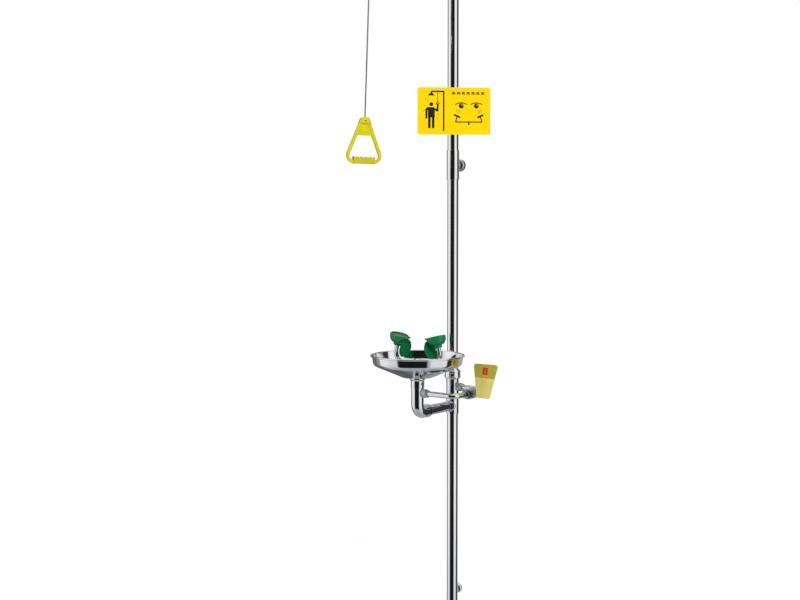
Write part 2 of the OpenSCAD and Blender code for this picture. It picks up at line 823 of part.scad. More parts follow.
module handle_opening() {
    t = handle_half(handle_web) - bar_across;
    f = handle_half(opening_foot) - bar_across;
    polygon(rounded([[-t, -handle_web], [-f, -opening_foot], [f, -opening_foot], [t, -handle_web]],
                    [3, 12, 12, 3]));
}

module handle_cap() {
    polygon(rounded([[-handle_half(0), 0], [-handle_half(handle_cap_h), -handle_cap_h],
                     [handle_half(handle_cap_h), -handle_cap_h], [handle_half(0), 0]], [9, 1, 1, 9]));
}

// Draws a flat shape upright, centred front to back, with thickness t
module upright(t) { rotate([90, 0, 0]) translate([0, 0, -t / 2]) linear_extrude(t) children(); }

module pull_handle() {
    color(yellow) handle_frame() difference() {
        union() {
            upright(handle_t) difference() {
                handle_outline();
                handle_opening();
            }
            upright(handle_cap_t) handle_cap();
        }
        for (s = [-1, 1]) translate([0, s * handle_t / 2, 0]) upright(2 * web_sink) web_recess();
        translate([0, 0, -rod_in_handle - fit]) cylinder(d = rod_d + 2 * fit, h = rod_in_handle + 2);
        translate([0, 0, -handle_pin_drop]) rotate([90, 0, 0]) {
            cylinder(d = handle_pin_d + 2 * fit, h = handle_cap_t + 2, center = true);
            for (s = [-1, 1]) translate([0, 0, s * handle_cap_t / 2])
                cylinder(d = handle_pin_d + 3, h = 2 * handle_pin_sink, center = true);
        }
    }
}

// The web stands back from the handle's edge on both faces
module web_recess() {
    top = handle_cap_h + 2;
    t = handle_half(top) - bar_across;
    foot = handle_web + 6;
    f = handle_half(foot) - bar_across;
    polygon(rounded([[-t, -top], [-f, -foot], [f, -foot], [t, -top]], [3, 1, 1, 3]));
}

// Five finger bumps along the grip's upper edge
grip_bumps = 5;
grip_path = [for (i = [0:40]) let (x = (i / 40 - 0.5) * grip_l)
             [x, grip_h / 2 - 1.4 + 1.4 * cos(x * 360 * grip_bumps / grip_l + 180)]];

module handle_grip() {
    mid = -(opening_foot + handle_foot) / 2;
    color(yellow) handle_frame() translate([0, 0, mid + 5]) rotate([90, 0, 0])
        translate([0, 0, -grip_t / 2]) difference() {
            linear_extrude(grip_t)
                polygon(concat(grip_path, [[grip_l / 2, -grip_h / 2], [-grip_l / 2, -grip_h / 2]]));
            translate([-grip_l / 2 - 1, -5 - grip_bar_h / 2 - fit, (grip_t - handle_t) / 2 - fit])
                cube([grip_l + 2, grip_bar_h + 2 * fit, handle_t + 2 * fit]);
        }
}

module handle_pin() {
    color(dark_steel) handle_frame() translate([0, 0, -handle_pin_drop]) rotate([90, 0, 0])
        cylinder(d = handle_pin_d, h = handle_cap_t - 2 * handle_pin_sink, center = true);
}

// ---------------------------------------------------------------- sign

sign_clamp_up = 45;
clamp_h = 14;
clamp_t = 2.5;
clamp_gap = 3;
ear_end = column_d / 2 + 16;

module sign_frame() { translate([0, 0, sign_z]) rotate([0, 0, sign_az]) children(); }

module sign_plate() {
    r = 6;
    color(sign_yellow) sign_frame() translate([0, -sign_gap, 0]) rotate([90, 0, 0])
        linear_extrude(sign_t) difference() {
            polygon(rounded([[-sign_w / 2, -sign_h / 2], [sign_w / 2, -sign_h / 2],
                             [sign_w / 2, sign_h / 2], [-sign_w / 2, sign_h / 2]], [r, r, r, r]));
            for (s = [-1, 1]) translate([0, s * sign_clamp_up]) circle(d = 4 + 2 * fit);
        }
}

module sign_clamps() {
    ring_r = column_d / 2 + fit;
    color(steel) sign_frame() for (s = [-1, 1]) translate([0, 0, s * sign_clamp_up]) difference() {
        union() {
            translate([0, 0, -clamp_h / 2]) cylinder(r = ring_r + clamp_t, h = clamp_h);
            translate([-12, -sign_gap, -clamp_h / 2]) cube([24, sign_gap - 5, clamp_h]);
            translate([-clamp_gap / 2 - clamp_t, 0, -clamp_h / 2])
                cube([clamp_gap + 2 * clamp_t, ear_end, clamp_h]);
        }
        cylinder(r = ring_r, h = clamp_h + 2, center = true);
        translate([-clamp_gap / 2, 0, -clamp_h / 2 - 1]) cube([clamp_gap, ear_end + 1, clamp_h + 2]);
        translate([0, ear_end - 7, 0]) rotate([0, 90, 0]) cylinder(d = 5 + 2 * fit, h = 20, center = true);
        translate([0, -sign_gap - 1, 0]) backward() cylinder(d = 4 + 2 * fit, h = 6);
    }
}

// A rivet's tail ends at the clamp ring's back, clear of the column
module sign_rivets() {
    tail = sign_gap - column_d / 2 - clamp_t;
    color(sign_yellow) sign_frame() for (s = [-1, 1])
        translate([0, -sign_gap, s * sign_clamp_up]) {
            translate([0, -sign_t, 0]) forward() cylinder(d = 8, h = 1);
            translate([0, -sign_t, 0]) backward() cylinder(d = 4, h = sign_t + tail);
        }
}

module clamp_bolts() {
    outer = clamp_gap / 2 + clamp_t;
    color(steel) sign_frame() for (s = [-1, 1])
        translate([0, ear_end - 7, s * sign_clamp_up]) {
            translate([-outer - 3.5, 0, 0]) rightward() cylinder(d = 8.5, h = 3.5);
            translate([-outer, 0, 0]) rightward() cylinder(d = 5, h = 2 * outer + 6);
            translate([outer, 0, 0]) rightward() hexagon(8, 4);
        }
}

// ---------------------------------------------------------------- bowl and drain

bowl_side_r = bowl_d / 2 - 2 * lip_r + bowl_t / 2;
bowl_taper = 4.5;
bowl_floor_r = drain_flange_d / 2 + 8;
bowl_floor_z = bowl_foot_z + bowl_t / 2;
bowl_shoulder = [bowl_side_r - bowl_taper, rim_z - bowl_band - 8];

// The bowl's wall, from the rolled lip down its side and dish to the hole for the drain
bowl_path = concat(
    arc([bowl_d / 2 - lip_r, rim_z - lip_r], lip_r - bowl_t / 2, -60, 180, 12),
    corner([bowl_side_r, rim_z - lip_r], bowl_shoulder, [bowl_floor_r, bowl_floor_z], 16, 8),
    corner(bowl_shoulder, [bowl_floor_r, bowl_floor_z], [0, bowl_floor_z], 30, 4),
    [[tail_d / 2 + 3 * fit, bowl_floor_z]]);

module bowl() {
    color(steel) at_bowl() rotate_extrude() polygon(wall_outline(bowl_path, bowl_t));
}

// Flange with strainer holes around the riser, and a threaded tail through the bowl
module drain_flange() {
    top = bowl_foot_z + bowl_t;
    plate = 2.5;
    color(steel) at_bowl() difference() {
        union() {
            translate([0, 0, top]) cylinder(d = drain_flange_d, h = plate);
            translate([0, 0, pipe_top_z + 1]) cylinder(d = tail_d, h = top - pipe_top_z);
        }
        translate([0, 0, pipe_top_z]) cylinder(d = tail_d - 2 * tail_wall, h = top - pipe_top_z);
        translate([0, 0, top - 1]) cylinder(d = riser_d + 2 * fit, h = plate + 2);
        for (i = [0:11]) rotate([0, 0, i * 30])
            translate([(riser_d + tail_d) / 4 - 0.5, 0, top - 1]) cylinder(d = 4, h = plate + 2);
    }
}

module bowl_sleeve() {
    top = bowl_foot_z - gasket_t;
    color(steel) at_bowl() difference() {
        union() {
            translate([0, 0, sleeve_foot_z]) cylinder(d = bowl_sleeve_d, h = top - sleeve_foot_z);
            translate([0, 0, top - 9]) cylinder(d1 = bowl_sleeve_d, d2 = bowl_sleeve_d + 8, h = 6);
            translate([0, 0, top - 3]) cylinder(d = bowl_sleeve_d + 8, h = 3);
        }
        translate([0, 0, sleeve_foot_z - 1]) cylinder(d = tail_d + 2 * fit, h = top - sleeve_foot_z + 2);
        translate([0, 0, sleeve_foot_z - 1])
            cylinder(d = drain_pipe_d + 2 * fit, h = pipe_top_z - sleeve_foot_z + 1);
    }
}

// Union gasket, bowl gasket, and an O-ring in each spray head's neck
module seals() {
    color(black_rubber) {
        translate([0, 0, union_z - gasket_t / 2]) tube(union_neck_d - 1, column_bore + 1, gasket_t);
        at_bowl(bowl_foot_z - gasket_t) tube(bowl_sleeve_d + 7, tail_d + 4 * fit, gasket_t);
        head_pair() translate([0, 0, -head_h + head_in])
            tube(spray_arm_d, spray_arm_d - 2 * spray_arm_wall, 1.5);
    }
}

module drain_pipe() {
    foot = drain_z + drain_elbow_r;
    color(steel) at_bowl() difference() {
        union() {
            translate([0, 0, foot]) cylinder(d = drain_pipe_d, h = pipe_top_z - foot);
            translate([0, 0, supply_z]) rightward() cylinder(d = boss_d, h = pipe_boss_end);
        }
        translate([0, 0, foot - 1]) cylinder(d = drain_pipe_bore, h = pipe_top_z - foot + 2);
        translate([0, 0, supply_z]) rightward() cylinder(d = riser_d + 2 * fit, h = pipe_boss_end + 1);
    }
}

module drain_elbow() {
    socket = drain_tail - 11;
    color(steel) at_bowl(drain_z) {
        translate([0, 0, drain_elbow_r]) mirror([0, 0, 1]) rotate([0, 0, 90])
            tube_bend(drain_pipe_d, drain_pipe_bore, drain_elbow_r);
        translate([0, drain_elbow_r, 0]) backward() difference() {
            union() {
                cylinder(d = drain_pipe_d, h = drain_tail);
                translate([0, 0, drain_tail - 5]) cylinder(d = drain_pipe_d + 4, h = 5);
            }
            translate([0, 0, -1]) cylinder(d = drain_arm_bore, h = drain_tail + 2);
            translate([0, 0, drain_tail - socket]) cylinder(d = drain_arm_d + 2 * fit, h = socket + 1);
        }
    }
}

module drain_arm() {
    front = bowl_y - drain_elbow_r - 11;
    back = drain_branch_end - socket_depth + 2;
    color(steel) translate([0, -back, drain_z]) forward()
        tube(drain_arm_d, drain_arm_bore, front - back);
}

// ---------------------------------------------------------------- eyewash supply and sprays

// Small pipe inside the drain pipe, from the side boss up to the manifold
module supply_riser() {
    bore = riser_d - 2 * riser_wall;
    bend_z = supply_z + riser_bend_r;
    color(steel) at_bowl() {
        translate([riser_bend_r, 0, supply_z]) rightward() tube(riser_d, bore, pipe_boss_end - riser_bend_r);
        translate([0, 0, bend_z]) mirror([0, 0, 1]) tube_bend(riser_d, bore, riser_bend_r);
        translate([0, 0, bend_z]) tube(riser_d, bore, arms_z - block_h / 2 + 8 - bend_z);
    }
}

module spray_manifold() {
    foot = arms_z - block_h / 2;
    color(steel) at_bowl() difference() {
        union() {
            translate([0, 0, foot]) cylinder(d = block_d, h = block_h - 3);
            translate([0, 0, foot + block_h - 3]) cylinder(d1 = block_d, d2 = block_d - 8, h = 3);
            translate([-block_boss, 0, arms_z]) rightward() cylinder(d = spray_arm_d + 6, h = 2 * block_boss);
        }
        translate([0, 0, foot - 1]) cylinder(d = riser_d + 2 * fit, h = 9);
        translate([0, 0, foot]) cylinder(d = riser_d - 2 * riser_wall, h = block_h / 2);
        translate([-block_boss - 1, 0, arms_z]) rightward()
            cylinder(d = spray_arm_d - 2 * spray_arm_wall, h = 2 * block_boss + 2);
        for (s = [0, 1]) mirror([s, 0, 0]) translate([block_boss - 10, 0, arms_z]) rightward()
            cylinder(d = spray_arm_d + 2 * fit, h = 12);
    }
}

// The path of one spray arm as a round bar; its bore runs on past both ends
module spray_arm_bar(d, past = 0) {
    translate([block_boss - 10 - past, 0, arms_z]) rightward()
        cylinder(d = d, h = spray_bend_x - block_boss + 10 + past);
    translate([spray_bend_x, 0, arms_z]) rotate([0, 90, 0]) mirror([1, 0, 0]) {
        translate([spray_bend_r, 0, 0]) rotate([90, 0, 0]) mirror([1, 0, 0])
            rotate_extrude(angle = 90 + head_tilt) translate([spray_bend_r, 0]) circle(d = d);
        after_bend(spray_bend_r, 90 + head_tilt) translate([0, 0, -lap])
            cylinder(d = d - 2 * sep, h = lap + head_straight + head_in + past);
    }
}

module spray_arms() {
    color(steel) at_bowl() for (s = [0, 1]) mirror([s, 0, 0]) difference() {
        spray_arm_bar(spray_arm_d);
        spray_arm_bar(spray_arm_d - 2 * spray_arm_wall, 1);
    }
}

// Places a spray head's own frame: origin in the middle of its rim, local +Z out of the head,
// local +X away from the bowl's middle
module head_frame(side) {
    at_bowl() mirror([side < 0 ? 1 : 0, 0, 0])
        translate([rim_x, 0, rim_up_z]) rotate([0, -head_tilt, 0]) children();
}
module head_pair() { for (side = [-1, 1]) head_frame(side) children(); }

// Outside of a spray head: neck, then a cup that swells to the rim
head_outside = concat(
    [[0, -head_h], [neck_d / 2 - 2, -head_h], [neck_d / 2, -head_h + 2], [neck_d / 2, -head_h + 9]],
    [for (i = [1:9]) let (a = i * 10)
        [neck_d / 2 + (head_d - neck_d) / 2 * sin(a), -5 - (head_h - 14) * cos(a)]],
    [[head_d / 2, -1.2], [head_d / 2 - 1.2, 0], [0, 0]]);

module spray_heads() {
    ear_r = knuckle_r;
    color(green) head_pair() difference() {
        union() {
            rotate_extrude() polygon(head_outside);
            for (s = [-1, 1]) translate([hinge_x, s * (knuckle_w / 2 + gap + ear_w / 2), -hinge_drop]) {
                rotate([90, 0, 0]) cylinder(r = ear_r, h = ear_w, center = true);
                translate([4, 0, -1.5]) cube([8, ear_w, 3.4], center = true);
            }
        }
        translate([0, 0, -face_depth]) cylinder(r = recess_r, h = face_depth + 1);
        translate([0, 0, -face_depth - face_t]) cylinder(d = face_d + 2 * fit, h = face_t + 1);
        translate([0, 0, -face_depth - face_t - 8]) cylinder(d1 = 14, d2 = face_d - 5, h = 8 + sep);
        translate([0, 0, -head_h]) cylinder(d = spray_arm_d - 2 * spray_arm_wall, h = head_h - 14);
        translate([0, 0, -head_h - 1]) cylinder(d = spray_arm_d + 2 * fit, h = head_in + 2.5);
        translate([hinge_x, 0, -hinge_drop]) rotate([90, 0, 0])
            cylinder(d = hinge_pin_d + 2 * fit, h = 3 * knuckle_w, center = true);
    }
}

module spray_faces() {
    color(brass_face) head_pair() translate([0, 0, -face_depth - face_t]) difference() {
        cylinder(d = face_d, h = face_t);
        for (ring = [1:2]) for (i = [0:6 * ring - 1]) rotate([0, 0, i * 60 / ring])
            translate([ring * face_d / 6, 0, -1]) cylinder(d = 2.4, h = face_t + 2);
    }
}

module hinge_pins() {
    l = knuckle_w + 2 * gap + 2 * ear_w;
    color(dark_steel) head_pair() translate([hinge_x, 0, -hinge_drop]) rotate([90, 0, 0])
        cylinder(d = hinge_pin_d, h = l + 1, center = true);
}

// A dust cover, turned open about its hinge from lying shut on the rim
module cover(side) {
    color(green) head_frame(side) translate([hinge_x, 0, -hinge_drop]) rotate([0, -cover_open, 0])
        difference() {
            union() {
                translate([-hinge_x, 0, hinge_drop + gap]) {
                    cylinder(d = cover_d, h = cover_t);
                    translate([0, 0, -3]) cylinder(r = recess_r - 1, h = 3.2);
                }
                rotate([90, 0, 0]) cylinder(r = knuckle_r, h = knuckle_w, center = true);
                translate([0, -knuckle_w / 2, hinge_drop + gap])
                    cube([-hinge_x - cover_d / 2 + 6, knuckle_w, cover_t]);
            }
            translate([-hinge_x, 0, hinge_drop + gap - 4]) cylinder(r = recess_r - 3, h = 4);
            rotate([90, 0, 0]) cylinder(d = hinge_pin_d + 2 * run_fit, h = knuckle_w + 2, center = true);
        }
}

module cover_left() { cover(-1); }
module cover_right() { cover(1); }

module supply_nut() {
    difference() {
        hexagon(supply_nut_af, nut_grip + nut_collar);
        translate([0, 0, -1]) cylinder(d = boss_d + 2 * fit, h = nut_grip + 1);
        translate([0, 0, -1]) cylinder(d = supply_d + 2 * fit, h = nut_grip + nut_collar + 2);
    }
}

module supply_nuts() {
    color(steel) {
        translate([tee_boss_end - nut_grip, 0, supply_z]) rightward() supply_nut();
        at_bowl(supply_z) translate([pipe_boss_end - nut_grip, 0, 0]) rightward() supply_nut();
    }
}

// A pipe that leaves sideways from x0, bends, and runs along Y to the valve
module supply_pipe(x0, leg) {
    bore = supply_d - 2 * supply_wall;
    translate([x0, 0, 0]) rightward() tube(supply_d, bore, supply_x - supply_bend_r - x0);
    translate([supply_x - supply_bend_r, 0, 0]) rotate([0, 90, 0]) rotate([0, 0, -90])
        tube_bend(supply_d, bore, supply_bend_r);
    translate([supply_x, -supply_bend_r, 0]) forward() tube(supply_d, bore, leg - supply_bend_r);
}

eye_socket = valve_socket(eye_half, eye_ball);

module supply_pipe_rear() {
    color(steel) translate([0, 0, supply_z]) supply_pipe(tee_boss_end, eye_valve_y - eye_half + eye_socket);
}

module supply_pipe_front() {
    color(steel) at_bowl(supply_z) mirror([0, 1, 0])
        supply_pipe(pipe_boss_end, bowl_y - eye_valve_y - eye_half + eye_socket);
}

// ---------------------------------------------------------------- push paddle

eye_lever_x = eye_barrel / 2 + 4 + gland_t_small + gap;
eye_lever_t = 4;
eye_stem_l = eye_lever_x + eye_lever_t + 7;
paddle_back = 14;
paddle_foot_drop = 11;
tab_w = 30;
tab_h = 46;
tab_t = 3;
tab_up = 22;
paddle_screw_x = 9;

module paddle_frame() { valve_frame_eyewash() rotate([-paddle_lean, 0, 0]) children(); }

module eyewash_stem() {
    color(steel) valve_frame_eyewash() valve_stem(eye_ball, eye_stem, eye_stem_l);
}

module eyewash_ball() {
    color(steel) valve_frame_eyewash() valve_ball(eye_ball, eye_bore, eye_stem);
}

// Upright lever on the stem, with a tab turned forward that carries the paddle
module paddle_lever() {
    color(steel) paddle_frame() difference() {
        union() {
            translate([eye_lever_x, 0, 0]) rightward() cylinder(d = 22, h = eye_lever_t);
            translate([eye_lever_x, -8, 0]) cube([eye_lever_t, 16, tab_up + tab_h]);
            translate([eye_lever_x, -paddle_back, tab_up]) cube([eye_lever_t, paddle_back, tab_h]);
            translate([eye_lever_x, -paddle_back, tab_up]) cube([tab_w, tab_t, tab_h]);
        }
        rightward() cylinder(d = eye_stem + 2 * fit, h = 60);
        for (s = [0, 1]) translate([eye_lever_x + tab_w - paddle_screw_x, -paddle_back - 1,
                                    tab_up + tab_h * (0.25 + 0.5 * s)])
            backward() cylinder(d = 4 + 2 * fit, h = tab_t + 2);
    }
}

module paddle() {
    foot = -paddle_foot_drop;
    top = foot + paddle_h;
    color(yellow) paddle_frame() translate([paddle_x, -paddle_back, 0]) rotate([90, 0, 0])
        linear_extrude(paddle_t) difference() {
            polygon(rounded([[-paddle_foot_w / 2, foot], [paddle_foot_w / 2, foot],
                             [paddle_top_w / 2, top], [-paddle_top_w / 2, top]], [3, 3, 9, 9]));
            for (s = [0, 1])
                translate([eye_lever_x + tab_w - paddle_screw_x - paddle_x, tab_up + tab_h * (0.25 + 0.5 * s)])
                    circle(d = 4 + 2 * fit);
        }
}

module paddle_screws() {
    color(yellow) paddle_frame() for (s = [0, 1])
        translate([eye_lever_x + tab_w - paddle_screw_x, -paddle_back - paddle_t,
                   tab_up + tab_h * (0.25 + 0.5 * s)]) {
            forward() cylinder(d = 7, h = 1.2);
            backward() cylinder(d = 4, h = paddle_t + tab_t + 4);
            translate([0, paddle_t + tab_t, 0]) backward() hexagon(7, 3);
        }
}

module paddle_nut() {
    color(steel) valve_frame_eyewash() translate([eye_lever_x + eye_lever_t, 0, 0]) rightward()
        difference() {
            hexagon(eye_stem + 5, 5);
            translate([0, 0, -1]) cylinder(d = eye_stem + 2 * fit, h = 7);
        }
}

// ---------------------------------------------------------------- nodes

base_flange();
lower_column();
drain_tee();
column_spool();
column_stop();
supply_tee();
union_nut();
mid_column();
inlet_tee();
upper_column();
top_elbow();
arm_rear();
arm_front();
drop_elbow();
shower_head();
plate_posts();
spray_plate();
plate_screws();
shower_valve_body();
eyewash_valve_body();
valve_ends();
valve_seats();
gland_nuts();
sign_plate();
sign_clamps();
sign_rivets();
clamp_bolts();
bowl();
drain_flange();
bowl_sleeve();
seals();
drain_pipe();
drain_elbow();
drain_arm();
supply_riser();
spray_manifold();
spray_arms();
spray_heads();
spray_faces();
hinge_pins();
supply_nuts();
supply_pipe_rear();
supply_pipe_front();
shower_lever();
shower_stem();
shower_ball();
lever_nut();
pull_rod();
pull_handle();
handle_grip();
handle_pin();
paddle();
paddle_lever();
paddle_screws();
eyewash_stem();
eyewash_ball();
paddle_nut();
cover_left();
cover_right();
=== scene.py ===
# %% [markdown]
# # A safety shower with an eyewash
# The station is one polished column. A shower arm with a ball valve and a pull rod is on top,
# and an eyewash bowl with a push paddle stands at hand height. The measured solids give every
# size and place. Here they get the smooth forms, edges and finishes that light plays on.
# %% Load the measured frame
import json
from math import asin, atan2, copysign, cos, degrees, pi, radians, sin, sqrt, tan

import bmesh
import bpy
from mathutils import Matrix, Vector

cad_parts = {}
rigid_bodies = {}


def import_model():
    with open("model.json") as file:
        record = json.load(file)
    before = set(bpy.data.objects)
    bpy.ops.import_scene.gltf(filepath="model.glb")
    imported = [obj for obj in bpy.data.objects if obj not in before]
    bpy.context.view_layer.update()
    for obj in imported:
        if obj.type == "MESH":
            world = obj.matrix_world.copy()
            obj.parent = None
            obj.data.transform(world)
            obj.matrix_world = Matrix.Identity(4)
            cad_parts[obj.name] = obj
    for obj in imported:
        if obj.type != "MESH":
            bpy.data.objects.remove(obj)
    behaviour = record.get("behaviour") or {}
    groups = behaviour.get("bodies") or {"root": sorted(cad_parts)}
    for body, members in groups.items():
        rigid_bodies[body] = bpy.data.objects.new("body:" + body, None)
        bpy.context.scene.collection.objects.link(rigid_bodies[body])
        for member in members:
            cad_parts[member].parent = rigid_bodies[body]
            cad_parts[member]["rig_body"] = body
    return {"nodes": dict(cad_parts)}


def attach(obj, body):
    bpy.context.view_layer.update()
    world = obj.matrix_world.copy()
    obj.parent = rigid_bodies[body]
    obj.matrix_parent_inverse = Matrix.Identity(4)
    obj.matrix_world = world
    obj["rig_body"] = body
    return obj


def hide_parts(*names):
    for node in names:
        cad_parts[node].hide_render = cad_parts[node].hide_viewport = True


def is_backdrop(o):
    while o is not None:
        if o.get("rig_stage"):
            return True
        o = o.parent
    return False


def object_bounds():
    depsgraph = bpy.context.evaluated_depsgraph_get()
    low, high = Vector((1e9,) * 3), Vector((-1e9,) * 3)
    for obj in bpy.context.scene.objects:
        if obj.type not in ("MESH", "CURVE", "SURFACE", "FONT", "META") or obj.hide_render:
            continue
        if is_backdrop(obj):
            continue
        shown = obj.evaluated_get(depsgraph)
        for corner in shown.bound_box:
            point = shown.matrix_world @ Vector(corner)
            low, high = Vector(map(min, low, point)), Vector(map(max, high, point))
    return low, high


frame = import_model()
cad_box = [list(corner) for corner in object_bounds()]
nodes = frame["nodes"]
scene = bpy.context.scene
scene.view_settings.view_transform = "Standard"


def linked(name, data):
    """A new object that shows `data` in the scene."""
    obj = bpy.data.objects.new(name, data)
    scene.collection.objects.link(obj)
    return obj

# %% [markdown]
# ## The camera
# The eye stands at chest height, 35 degrees to the right of the user's own view. It looks a
# little to the left of the column, towards the pull handle, and a little down to take in the
# bowl. The tilt is so small that the column still stands upright in the picture.
# %% Place the camera
VIEW_TURN = radians(35)
DISTANCE, EYE_HEIGHT = 4.14, 1.394
LOOK_DOWN, LOOK_LEFT = radians(2.62), radians(2.52)
camera_data = bpy.data.cameras.new("camera")
camera_data.lens = 54.0
camera_data.sensor_width = 36.0
camera_data.shift_y = -0.025
camera = linked("camera", camera_data)
camera.location = (DISTANCE * sin(VIEW_TURN), -DISTANCE * cos(VIEW_TURN), EYE_HEIGHT)
camera.rotation_euler = (pi / 2 - LOOK_DOWN, 0, VIEW_TURN + LOOK_LEFT)
scene.camera = camera

# %% [markdown]
# ## The room that the steel mirrors
# Polished steel has no colour of its own. What we see on it is the room, so the room is
# designed: bright walls, one dark wall behind the viewer and a second one to the right. They
# turn into the black stripes that run down every tube. Straight rays see plain white.
# %% Build the room as a world shader
world = bpy.data.worlds.new("white studio")
scene.world = world
world.use_nodes = True


class Nodes:
    """A node tree with a short way to add and join its nodes."""

    def __init__(self, tree):
        self.tree = tree

    def feed(self, node, key, value):
        """Joins one input of a node to a socket, or sets it to a constant."""
        if isinstance(value, bpy.types.NodeSocket):
            self.tree.links.new(value, node.inputs[key])
        else:
            node.inputs[key].default_value = value

    def add(self, kind, settings=None, inputs=None):
        node = self.tree.nodes.new(kind)
        for key, value in (settings or {}).items():
            setattr(node, key, value)
        for key, value in (inputs or {}).items():
            self.feed(node, key, value)
        return node

    def math(self, operation, a, b=0.0):
        return self.add("ShaderNodeMath", {"operation": operation}, {0: a, 1: b}).outputs[0]

    def ramp(self, factor, stops):
        node = self.add("ShaderNodeValToRGB", inputs={"Fac": factor})
        elements = node.color_ramp.elements
        while len(elements) < len(stops):
            elements.new(1.0)
        for element, (place, colour) in zip(elements, stops):
            element.position = place
            element.color = (*colour, 1.0) if isinstance(colour, tuple) else (colour,) * 3 + (1.0,)
        return node.outputs["Color"]

    def span(self, value, start, end, low=0.0, high=1.0):
        """Maps a value between start and end to low and high, and holds it there."""
        return self.add("ShaderNodeMapRange", inputs={
            "Value": value, "From Min": start, "From Max": end, "To Min": low,
            "To Max": high}).outputs[0]

    def mix(self, factor, a, b, mode="MIX"):
        return self.add("ShaderNodeMix", {"data_type": "RGBA", "blend_type": mode},
            {0: factor, 6: a, 7: b}).outputs[2]


# Each wall starts at a turn, in degrees to the right of the viewer's own direction
WALLS = [(-180, 0.16), (-128, 0.34), (-112, 1.0), (-78, 0.88), (-52, 0.012),
         (28, (0.55, 0.58, 0.66)), (36, 1.0), (84, 0.035), (128, 0.42)]
room = Nodes(world.node_tree)
world.node_tree.nodes.clear()
direction = room.add("ShaderNodeTexCoord").outputs["Generated"]
split = room.add("ShaderNodeSeparateXYZ", inputs={0: direction})
# the turn grows to the right of the direction back to the camera
turn = room.math("ARCTAN2", split.outputs["X"], room.math("MULTIPLY", split.outputs["Y"], -1.0))
share = room.math("FRACT", room.math("DIVIDE", room.math("SUBTRACT", turn, VIEW_TURN - 3 * pi),
    2 * pi))
EDGE = 0.006
stops = []
for index, (start, tone) in enumerate(WALLS):
    at = (start + 180) / 360
    if index:
        stops.append((at - EDGE, WALLS[index - 1][1]))
    stops.append((at + (EDGE if index else 0), tone))
walls = room.ramp(share, stops)
height = room.math("MULTIPLY_ADD", split.outputs["Z"], 0.5)
height.node.inputs[2].default_value = 0.5
storeys = room.ramp(height, [(0.0, (0.34, 0.37, 0.42)), (0.13, (0.52, 0.54, 0.60)),
    (0.30, (0.80, 0.82, 0.86)), (0.42, 1.0), (0.74, 1.0), (0.80, 0.9)])
# the walls fade out towards the floor and the ceiling
low = room.span(split.outputs["Z"], -0.80, -0.60)
high = room.span(split.outputs["Z"], 0.85, 0.55)
upright = room.math("MULTIPLY", low, high)
seen = room.mix(upright, storeys, room.mix(1.0, storeys, walls, "MULTIPLY"))
rays = room.add("ShaderNodeLightPath")
backdrop = room.add("ShaderNodeBackground", inputs={"Color": (1, 1, 1, 1), "Strength": 1.0})
mirrored = room.add("ShaderNodeBackground", inputs={"Color": seen, "Strength": 1.0})
soft = room.add("ShaderNodeBackground", inputs={"Color": (1, 1, 1, 1), "Strength": 0.52})
inner = room.add("ShaderNodeMixShader", inputs={0: rays.outputs["Is Diffuse Ray"],
    1: mirrored.outputs[0], 2: soft.outputs[0]})
outer = room.add("ShaderNodeMixShader", inputs={0: rays.outputs["Is Camera Ray"],
    1: inner.outputs[0], 2: backdrop.outputs[0]})
room.add("ShaderNodeOutputWorld", inputs={"Surface": outer.outputs[0]})
print("walls in the room:", len(WALLS))

# %% [markdown]
# ## Lamps and floor
# Two large soft lamps model the plastic parts: a key from the front right and a weaker fill
# from the left. Their own shapes stay out of the mirrors, because the room already has its
# white walls. The floor is a plain pale disc.
# %% Hang the lamps and lay the floor
LAMP_TARGET = Vector((0, -0.2, 1.2))

def soft_lamp(name, place, size, power):
    data = bpy.data.lights.new(name, "AREA")
    data.shape = "DISK"
    data.size = size
    data.energy = power
    lamp = linked(name, data)
    lamp.location = place
    lamp.rotation_euler = (LAMP_TARGET - Vector(place)).to_track_quat("-Z", "Y").to_euler()
    lamp.visible_glossy = False

soft_lamp("key lamp", (3.2, -2.6, 3.6), 1.6, 110)
soft_lamp("fill lamp", (-2.8, -2.4, 2.2), 2.0, 12)

floor_mesh = bpy.data.meshes.new("floor")
shape = bmesh.new()
bmesh.ops.create_circle(shape, cap_ends=True, segments=128, radius=2.4)
shape.to_mesh(floor_mesh)
shape.free()
floor = linked("floor", floor_mesh)
floor.location = (0, -0.2, -0.0005)
pale = bpy.data.materials.new("pale floor")
pale.use_nodes = True
ground = Nodes(pale.node_tree)
pale.node_tree.nodes.clear()
grain = ground.add("ShaderNodeTexNoise", inputs={"Scale": 30.0})
near_white = ground.ramp(grain.outputs["Fac"], [(0.3, 0.93), (0.7, 0.95)])
day = ground.add("ShaderNodeBsdfDiffuse", inputs={"Color": near_white})
lit = ground.add("ShaderNodeEmission", inputs={"Color": near_white, "Strength": 0.42})
shown = ground.add("ShaderNodeAddShader", inputs={0: day.outputs[0], 1: lit.outputs[0]})
ground.add("ShaderNodeOutputMaterial", inputs={"Surface": shown.outputs[0]})
floor_mesh.materials.append(pale)
floor.visible_glossy = False
floor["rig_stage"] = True

# %% [markdown]
# ## Finishes for metal
# Tube is polished with belts, so its faint scratches run round it, and hands leave soft
# smears. Both change only the gloss and a very small bump. Castings and nuts are tumbled,
# which leaves a grey satin with a fine grain.
# %% Make the metal finishes
def principled(name, colour, metallic, roughness):
    material = bpy.data.materials.new(name)
    material.use_nodes = True
    net = Nodes(material.node_tree)
    shader = material.node_tree.nodes["Principled BSDF"]
    shader.inputs["Base Color"].default_value = (*colour, 1.0)
    shader.inputs["Metallic"].default_value = metallic
    shader.inputs["Roughness"].default_value = roughness
    return material, net, shader


